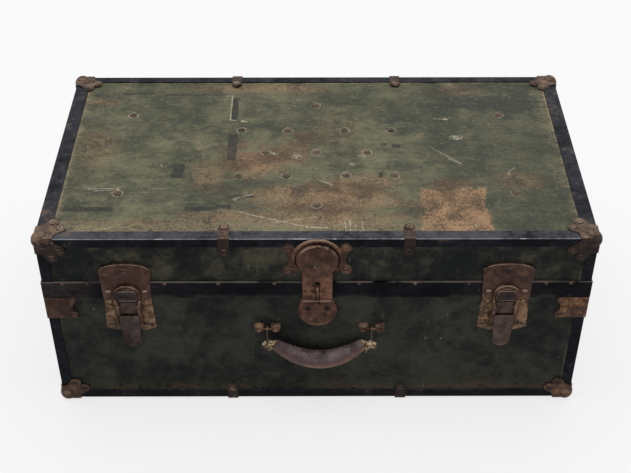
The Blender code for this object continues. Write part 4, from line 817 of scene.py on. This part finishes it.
def softened(name, finish, slot, radius, mitre=None):
    """A copy of a pressed plate of the frame with its sharp edges worn round, in the plate's place.

    A plate bent round a corner is cut along its mitre, a point and a normal, so that no face is L-shaped.
    """
    node = frame["nodes"][name]
    bm = bmesh.new()
    bm.from_mesh(node.data)
    bmesh.ops.remove_doubles(bm, verts=bm.verts, dist=0.002 * MM)
    bmesh.ops.dissolve_limit(bm, angle_limit=math.radians(2), verts=bm.verts, edges=bm.edges)
    sharp = [e for e in bm.edges if len(e.link_faces) == 2 and e.calc_face_angle(0) > math.radians(28)]
    bmesh.ops.bevel(bm, geom=sharp, offset=radius, segments=2, affect="EDGES", profile=0.5, material=-1,
                    clamp_overlap=True)
    if mitre:
        bmesh.ops.bisect_plane(bm, geom=everything(bm), plane_co=mitre[0], plane_no=mitre[1])
    piece(f"{name}_worn", bm, finish, node["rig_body"], slot, [name])


def pressed_plates():
    for side, sx in SIDES.items():
        for level in LEVELS:
            softened(f"hinge_{level}_leaf_{side}", "hinge", "hinge_steel", 0.4 * MM)
        for end, sy in ENDS.items():
            clamp = f"base_corner_clamp_{end}_{side}"
            mitre = corner_of(clamp, (sx, sy, -1)), Vector((-sy, sx, 0)).normalized()
            finish = "clamp_ochre" if clamp.endswith("front_right") else "clamp"
            softened(clamp, finish, "corner_steel", 0.4 * MM, mitre)
    softened("lock_hasp", "lock", "lock_steel", 1.1 * MM)
    softened("lock_hinge_plate", "lock", "lock_steel", 0.6 * MM)


def rounded(centre, radius, start, end, steps):
    """Points on an arc of a flat outline, in millimetres and degrees."""
    turns = [math.radians(start + (end - start) * i / steps) for i in range(steps + 1)]
    return [(centre[0] + radius * math.cos(a), centre[1] + radius * math.sin(a)) for a in turns]


def mirrored(half):
    return half + [(-u, v) for u, v in reversed(half) if abs(u) > 0.01]


def stamped(bm, outline, place, low, high, edge=0.0, steps=()):
    """A pressed plate: an outline raised from low to high, its rim rounded, its face stepped by width, rise.

    place gives the point that lies u across, v up and w out, in millimetres.
    """
    face = bm.faces.new([bm.verts.new(place(u, v, low)) for u, v in outline])
    grown = bmesh.ops.extrude_face_region(bm, geom=[face])["geom"]
    top = next(g for g in grown if isinstance(g, bmesh.types.BMFace))
    bmesh.ops.translate(bm, verts=top.verts, vec=place(0, 0, high) - place(0, 0, low))
    rim = list(top.edges)
    for width, rise in steps:
        corners = [v.co for v in top.verts]
        half = [(max(c[k] for c in corners) - min(c[k] for c in corners)) / 2 for k in (0, 2)]
        middle = Vector([(max(c[k] for c in corners) + min(c[k] for c in corners)) / 2 for k in range(3)])
        grown = bmesh.ops.extrude_face_region(bm, geom=[top])["geom"]
        top = next(g for g in grown if isinstance(g, bmesh.types.BMFace))
        shrink = Vector((1 - width * MM / half[0], 1, 1 - width * MM / half[1]))
        bmesh.ops.scale(bm, vec=shrink, space=Matrix.Translation(-middle), verts=top.verts)
        bmesh.ops.translate(bm, verts=top.verts, vec=place(0, 0, rise) - place(0, 0, 0))
    if edge:
        bmesh.ops.recalc_face_normals(bm, faces=bm.faces)
        bmesh.ops.bevel(bm, geom=rim, offset=edge * MM, segments=3, affect="EDGES", profile=0.5, material=-1)


# Outlines on a latch, across its middle and up from the parting line in millimetres
KEEPER_CROWN = 50.0
KEEPER_HALF, KEEPER_RISE = 36.6, 13.2
KEEPER_FOOT = -1.4
KEEPER_ARCH, BEAD_ARCH, ARCH_HEIGHT = 18.8, 17.4, 6
BASE_FACE = [(36.6, -61), (33.9, -3.2), (19.4, -3.2), (19.4, -48), (16.4, -60), (16.4, -67.6), (24, -66)]
TONGUE_SIDE = [(14.6, -33), (15.4, -38), (14.9, -50), (13.8, -64), (13.2, -76)]
HEAD_SIDE = [(13.4, -2.6), (14.8, -1.2), (14.8, 8.0)]
# Strip under the hook's head, drawn near-black as painted shadow
HEAD_SHADOW_STRIP = [(-12.4, -9.4), (12.4, -9.4), (12.4, -2.4), (-12.4, -2.4)]

# Steps of the dished faces: width in from the step before, and rise
TONGUE_DISH = [(0.5, 0.45), (1.1, 0.15), (1.2, -0.5), (2.6, -0.25), (3.0, 0.25)]
HEAD_DISH = [(0.6, 0.8), (1.0, 0.3), (1.1, -0.6), (2.2, -0.2), (2.4, 0.2)]

# Bead down each side of a latch's base plate: across, height, stand and radius in millimetres
LATCH_RIB = [(17.4, -4.0, 7.6, 1.5), (17.4, -5.5, 8.8, 1.8), (17.5, -20, 9.3, 1.9), (17.7, -38, 9.3, 1.9),
             (18.0, -48, 6.4, 1.8), (18.6, -56, 2.6, 1.5), (19.2, -60, 1.6, 0.8)]


def keeper_outline():
    """A plate with an oval crown and an arch cut up from its foot."""
    turns = [math.radians(15 * i) for i in range(1, 6)]
    crown = [(KEEPER_HALF * math.cos(a), KEEPER_CROWN + KEEPER_RISE * math.sin(a)) for a in turns]
    half = [(34.6, KEEPER_FOOT), (KEEPER_HALF, KEEPER_CROWN)] + crown + [(0, KEEPER_CROWN + KEEPER_RISE)]
    arch = rounded((0, ARCH_HEIGHT), KEEPER_ARCH, 180, 0, 18)
    return mirrored(half) + [(-KEEPER_ARCH, KEEPER_FOOT)] + arch + [(KEEPER_ARCH, KEEPER_FOOT)]


def head_rim():
    """The rolled edge round the hook's head, closed."""
    edge = rounded((8.6, 10.2), 5.4, 0, 90, 6) + rounded((-8.6, 10.2), 5.4, 90, 180, 6)
    edge += rounded((-10.6, 1.2), 3.4, 180, 270, 4) + rounded((10.6, 1.2), 3.4, 270, 360, 4)
    return edge + edge[:1]


def latch_pressing(side, name, outlines, low, high, finish, body, slot, edge=0.0, steps=()):
    """One piece of a latch, stamped from flat outlines."""
    bm = bmesh.new()
    for outline in outlines:
        stamped(bm, outline, functools.partial(on_latch, side), low, high, edge, steps)
    piece(f"latch_{name}_{side}", bm, finish, body, slot, crease=30)


def latch_faces():
    """The pressed faces of each latch over its solids: keeper, base plate, dished tongue and rimmed head."""
    keeper = keeper_outline()
    arch = [(-BEAD_ARCH, -1.2)] + rounded((0, ARCH_HEIGHT), BEAD_ARCH, 180, 0, 24) + [(BEAD_ARCH, -1.2)]
    base = [BASE_FACE, [(-u, v) for u, v in reversed(BASE_FACE)]]
    tongue = mirrored(TONGUE_SIDE + rounded((0, -81), 13.2, 0, -90, 8))
    head = mirrored(HEAD_SIDE + rounded((6.8, 9.2), 8.0, 0, 66, 6))
    for side in SIDES:
        place = functools.partial(on_latch, side)
        lever, hook = f"lever_{side}", f"hook_{side}"
        latch_pressing(side, "keeper_face", [keeper], 4.1, 5.0, "keeper", "lid", "latch_steel", 0.85)
        bead = [(place(u, v, 7.6), 1.7 * MM) for u, v in arch]
        wires(f"latch_keeper_bead_{side}", [bead], "keeper", "lid", "latch_steel")
        latch_pressing(side, "base_face", base, 1.2, 2.1, "latch", "base", "latch_steel", 0.5)
        latch_pressing(side, "tongue", [tongue], 8.6, 9.3, "lever", lever, "lever_steel", steps=TONGUE_DISH)
        latch_pressing(side, "head", [head], 6.0, 9.4, "head", hook, "lever_steel", steps=HEAD_DISH)
        rim = [(place(u, v, 9.9), 0.75 * MM) for u, v in head_rim()]
        wires(f"latch_head_rim_{side}", [rim], "keeper", hook, "lever_steel")
        # Painted shadow under the hook's head.
        latch_pressing(side, "head_shadow", [HEAD_SHADOW_STRIP], 5.2, 5.8, "shadow_black", hook, "lever_steel")
        ribs = [[(place(sign * u, v, w), r * MM) for u, v, w, r in LATCH_RIB] for sign in (-1, 1)]
        wires(f"latch_base_ribs_{side}", ribs, "keeper", "base", "latch_steel")


# The lock's receiver in millimetres: its middle above the parting line, the ring's radius and half width,
# where it is cut off below, and its ears
RING_HEIGHT = 70
RING_RADIUS, RING_ROUND = 34, 3
RING_CUT = 19
EAR_AT, EAR_RADIUS = (40.5, 20), 8.3
EAR_WEB = ((30, -20), (46, -18), (42, -9), (40.6, 0), (42, 9), (46, 18), (30, 20))


def lock_ring():
    """The receiver: a half-round horseshoe rim on a plate, with four ears."""
    middle = on_lock(0, RING_HEIGHT, 0.3)

    def place(u, v, w):
        return middle + Vector((u, -w, v)) * MM

    turns = [math.radians(18 * i) for i in range(11)]
    rim = [(RING_RADIUS + RING_ROUND * math.cos(a), 1.7 + RING_ROUND * math.sin(a)) for a in turns]
    profile = [(0, 0), (RING_RADIUS + RING_ROUND, 0)] + rim + [(30.6, 2.2), (0, 2.2)]
    bm = bmesh.new()
    turned(bm, [(r * MM, h * MM) for r, h in profile], middle, FRONT, 72)
    foot = middle + DOWN * RING_CUT * MM
    bmesh.ops.bisect_plane(bm, geom=everything(bm), plane_co=foot, plane_no=DOWN, clear_outer=True)
    bmesh.ops.holes_fill(bm, edges=[e for e in bm.edges if e.is_boundary], sides=0)
    for across in (-1, 1):
        for rise in (-1, 1):
            ear = rounded((across * EAR_AT[0], rise * EAR_AT[1]), EAR_RADIUS, 0, 348, 29)
            root = [(across * 30, rise * 6), (across * 30, rise * 17)]
            neck = sorted(ear + root, key=lambda p: math.atan2(p[1] - rise * 17, p[0] - across * 38))
            stamped(bm, neck, place, 0, 1.9, 0.6)
        stamped(bm, [(across * u, v) for u, v in EAR_WEB], place, 0, 1.7, 0.5)
    piece("lock_receiver_ring", bm, "lock", "lid", "lock_steel", ["lock_receiver"])


def wires(name, routes, finish, body, slot, rings=3):
    """Round strands along routes of place and radius pairs, closed at both ends."""
    curve = bpy.data.curves.new(name, "CURVE")
    curve.dimensions = "3D"
    curve.bevel_depth = 1.0
    curve.bevel_resolution = rings
    curve.use_fill_caps = True
    for route in routes:
        spline = curve.splines.new("POLY")
        spline.points.add(len(route) - 1)
        for point, (place, radius) in zip(spline.points, route):
            point.co = (*place, 1.0)
            point.radius = radius
    drawn = bpy.data.objects.new(name, curve)
    bpy.context.scene.collection.objects.link(drawn)
    bpy.context.view_layer.update()
    mesh = bpy.data.meshes.new_from_object(drawn.evaluated_get(bpy.context.evaluated_depsgraph_get()))
    bpy.data.objects.remove(drawn, do_unlink=True)
    bm = bmesh.new()
    bm.from_mesh(mesh)
    bmesh.ops.remove_doubles(bm, verts=bm.verts, dist=0.001 * MM)
    piece(name, bm, finish, body, slot, crease=70)


# Beads on each flat of a guard, in from the trunk's corner, and their radius along the way, in millimetres
GUARD_BEADS = (((10, 5), (17, 10), (27, 18)), ((5, 10), (10, 17), (18, 27)))
BEAD_RADII = (0.5, 1.1, 0.5)
BEAD_STAND = 1.3


def guard_ribs():
    """Raised beads that run from each guard's ball out to its lobes."""
    for level, finish in (("base", "guard_low"), ("lid", "guard")):
        routes = []
        for _, _, sx, sy in CORNERS:
            way = Vector((sx, sy, LEVELS[level]))
            corner = corner_of(f"{level}_binding", way)
            for flat in range(3):
                for bead in GUARD_BEADS:
                    spots = [on_guard(corner, way, flat, a, b) for a, b in bead]
                    places = [at + out * BEAD_STAND * MM for at, out in spots]
                    routes.append([(at, radius * MM) for at, radius in zip(places, BEAD_RADII)])
        wires(f"{level}_guard_ribs", routes, finish, level, "corner_steel")


# A handle loop in millimetres: an eyelet's radius and height pairs, how far out it sits, and half the strap
LOOP_DOME = [(0, -0.2), (8.6, -0.2), (8.6, 0.6), (8.3, 2.4), (7.2, 4.8), (5.6, 6.8), (4.6, 7.2), (3.7, 6.8),
             (3.0, 5.6), (0, 5.2)]
LOOP_REACH = 12.2
STRAP_HALF = [(10, 2.2), (4, 1.9), (0.02, 1.7)]


def handle_loops():
    """Two domed eyelets with a bridging strap for each end of the grip."""
    dome = [(r * MM, h * MM) for r, h in LOOP_DOME]
    upper = mirrored(STRAP_HALF)
    strap = upper + [(u, -v) for u, v in reversed(upper)]
    for side in SIDES:
        middle = middle_of(f"handle_loop_{side}")

        def place(u, v, w):
            return Vector((middle.x + u * MM, FRONT_Y - w * MM, middle.z + v * MM))

        bm = bmesh.new()
        for sign in (-1, 1):
            turned(bm, dome, place(sign * LOOP_REACH, 0, 0.4), FRONT, 28)
        stamped(bm, strap, place, 5.2, 6.8, 0.5)
        piece(f"handle_loop_domes_{side}", bm, "loop", "base", "latch_steel", [f"handle_loop_{side}"])


# The grip in millimetres: half its length, how far its middle hangs and stands out, its radius at the ends
# and what the middle adds; then the steps along and round it, and its stitches with the share that they run
GRIP_HALF, GRIP_HANG, GRIP_BULGE = 66, 29.5, 3.4
GRIP_THIN, GRIP_SWELL = 7.6, 6.2
GRIP_STEPS, GRIP_SIDES = 56, 40
GRIP_STITCHES, STITCHED = 34, 0.86
GRIP_EYE = Vector((middle_of("handle_grip").x, FRONT_Y - 12 * MM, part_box("handle_link_left")[0].z + 5.4 * MM))


def grip_line(t):
    """Middle of the grip at t from -1 to 1 along it."""
    sag = 1 - t * t
    return GRIP_EYE + Vector((t * GRIP_HALF, -GRIP_BULGE * sag, -GRIP_HANG * sag)) * MM


def grip_radius(t):
    return (GRIP_THIN + GRIP_SWELL * (1 - abs(t) ** 2.2) ** 0.85) * MM


def leather_grip():
    """The stuffed grip: a tapering sleeve of leather, lumpy where it is worn, with a hollow at both ends."""
    bm = bmesh.new()
    rings = []
    for i in range(GRIP_STEPS + 1):
        t = -1 + 2 * i / GRIP_STEPS
        middle = grip_line(t)
        along = (grip_line(min(t + 0.02, 1)) - grip_line(max(t - 0.02, -1))).normalized()
        turn = along.to_track_quat("Z", "Y").to_matrix().to_4x4()
        made = bmesh.ops.create_circle(bm, cap_ends=False, segments=GRIP_SIDES, radius=grip_radius(t),
                                       matrix=Matrix.Translation(middle) @ turn)["verts"]
        for v in made:
            swell = lumps.noise(v.co * 60) * 0.5 + lumps.noise(v.co * 190) * 0.22
            v.co += (v.co - middle).normalized() * swell * MM
        rings.append(list(dict.fromkeys(e for v in made for e in v.link_edges)))
    for near, far in zip(rings, rings[1:]):
        bmesh.ops.bridge_loops(bm, edges=near + far)
    for ring in (rings[0], rings[-1]):
        cap = bmesh.ops.edgeloop_fill(bm, edges=ring)["faces"]
        bmesh.ops.recalc_face_normals(bm, faces=bm.faces)
        bmesh.ops.inset_region(bm, faces=cap, thickness=1.6 * MM, depth=0.3 * MM)
        bmesh.ops.inset_region(bm, faces=cap, thickness=0.4 * MM, depth=-4 * MM)
    grip = piece("handle_grip_leather", bm, "leather", "grip", "leather", ["handle_grip"], crease=60)


def grip_seam():
    """Stitches along the lower back of the grip."""
    stitches = []
    for i in range(GRIP_STITCHES):
        t = STITCHED * (2 * i / (GRIP_STITCHES - 1) - 1)
        first, last = [grip_line(t + d) + Vector((0, 0.5, -0.86)) * grip_radius(t) for d in (-0.012, 0.012)]
        stitches.append([(first, 0.5 * MM), ((first + last) / 2, 0.75 * MM), (last, 0.5 * MM)])
    wires("handle_grip_stitches", stitches, "twine", "grip", "leather", 1)


def tossed(dice, sign, *spans):
    """A random vector within a span for each axis, its x turned by sign."""
    x, y, z = [dice.uniform(low, high) for low, high in spans]
    return Vector((sign * x, y, z))


# The twine core at each end of the grip in millimetres: out from the grip's end, up, and radius
TWINE_CORE = [(-4, 0, 5), (0, 0, 4.6), (8, 0, 2.4), (11, 0, 2.2), (14, 0, 2.5), (17, -1, 2.6), (19, -1, 1.2)]
TUFTS, THREADS = 30, 9
TUFT_RADII = (0.9, 1.3, 1.7, 2.1)


def frayed_ends():
    """Twine stuffing that bursts from both ends of the grip, and the core that the wire links hold."""
    dice = random.Random(7)
    routes = []
    for sign in (-1, 1):
        mouth = grip_line(sign)
        core = [(Vector((sign * out, 0, rise)), radius) for out, rise, radius in TWINE_CORE]
        routes.append([(mouth + at * MM, radius * MM) for at, radius in core])
        for _ in range(TUFTS):
            start = mouth + tossed(dice, sign, (-2, 15), (-5.5, 0), (-4, 6)) * MM
            bend = tossed(dice, sign, (-0.8, 1), (-0.8, 0.2), (-1, 1)).normalized()
            hang = tossed(dice, sign, (-0.6, 0.8), (-0.6, 0.2), (-1.3, 0.2)).normalized()
            reach = dice.uniform(2.2, 4.4) * MM
            thick = dice.choice(TUFT_RADII) * MM
            tip = start + bend * reach
            routes.append([(start, thick * 0.6), (start + bend * reach * 0.4, thick), (tip, thick * 0.9),
                           (tip + hang * reach * 0.6, thick * 0.35)])
        for _ in range(THREADS):
            start = mouth + tossed(dice, sign, (2, 15), (-5, -1), (-6, 3)) * MM
            fall = tossed(dice, sign, (-0.5, 0.7), (-0.5, 0.1), (-1.2, 0.1)).normalized()
            end = start + fall * 7 * MM + DOWN * 1.2 * MM
            routes.append([(start, 0.5 * MM), (start + fall * 4 * MM, 0.45 * MM), (end, 0.25 * MM)])
    wires("handle_grip_twine", routes, "twine", "grip", "leather", 2)


def stage():
    """Pale floor, one wide soft light overhead and a weak fill, and the photo's camera."""
    scene = bpy.context.scene
    scene.view_settings.view_transform = "Standard"
    bm = bmesh.new()
    bmesh.ops.create_grid(bm, x_segments=1, y_segments=1, size=8.0)
    mesh = bpy.data.meshes.new("floor")
    bm.to_mesh(mesh)
    bm.free()
    floor = bpy.data.objects.new("floor", mesh)
    scene.collection.objects.link(floor)
    paper, at = begin("pale_floor")
    mesh.materials.append(finished(paper, at, (0.86, 0.86, 0.86), 0.9))
    shine = at.node("Emission", {"Color": (1.0, 1.0, 1.0, 1.0), "Strength": 1.0})
    plain = Field(at.tree, at.tree.nodes["Principled BSDF"].outputs[0])
    lit = at.node("MixShader", {0: background_share(at) * FLOOR_GLOW, 1: plain, 2: shine})
    at.tree.links.new(lit.socket, at.tree.nodes["Material Output"].inputs["Surface"])

    world = bpy.data.worlds.new("studio")
    world.use_nodes = True
    scene.world = world
    fill = world.node_tree.nodes["Background"]
    fill.inputs["Color"].default_value = (1.0, 1.0, 1.0, 1.0)
    seen = background_share(Field(world.node_tree, fill.outputs[0]))
    world.node_tree.links.new(seen.fused(1.0 - FILL, FILL).socket, fill.inputs["Strength"])

    lamp = bpy.data.lights.new("overhead_softbox", "AREA")
    lamp.shape = "RECTANGLE"
    lamp.size, lamp.size_y = LAMP_SIZE
    lamp.energy = LAMP_WATTS
    softbox = bpy.data.objects.new("overhead_softbox", lamp)
    scene.collection.objects.link(softbox)
    softbox.location = LAMP_AT
    softbox.rotation_euler = (LAMP_AIM - LAMP_AT).to_track_quat("-Z", "Y").to_euler()

    lens = bpy.data.cameras.new("photo_camera")
    lens.sensor_fit = "HORIZONTAL"
    lens.sensor_width = 36.0
    lens.lens = LENS
    eye = bpy.data.objects.new("photo_camera", lens)
    scene.collection.objects.link(eye)
    turns = ((-YAW, "Z"), (math.pi / 2 - PITCH, "X"), (ROLL, "Z"))
    yaw, pitch, roll = [Matrix.Rotation(angle, 4, axis) for angle, axis in turns]
    eye.matrix_world = Matrix.Translation(EYE) @ yaw @ pitch @ roll
    scene.camera = eye


paint_frame()
lid_rivets()
corner_rivets()
latch_rivets()
lock_rivets()
hinge_rivets()
pressed_plates()
latch_faces()
lock_ring()
guard_ribs()
handle_loops()
leather_grip()
grip_seam()
frayed_ends()
stage()
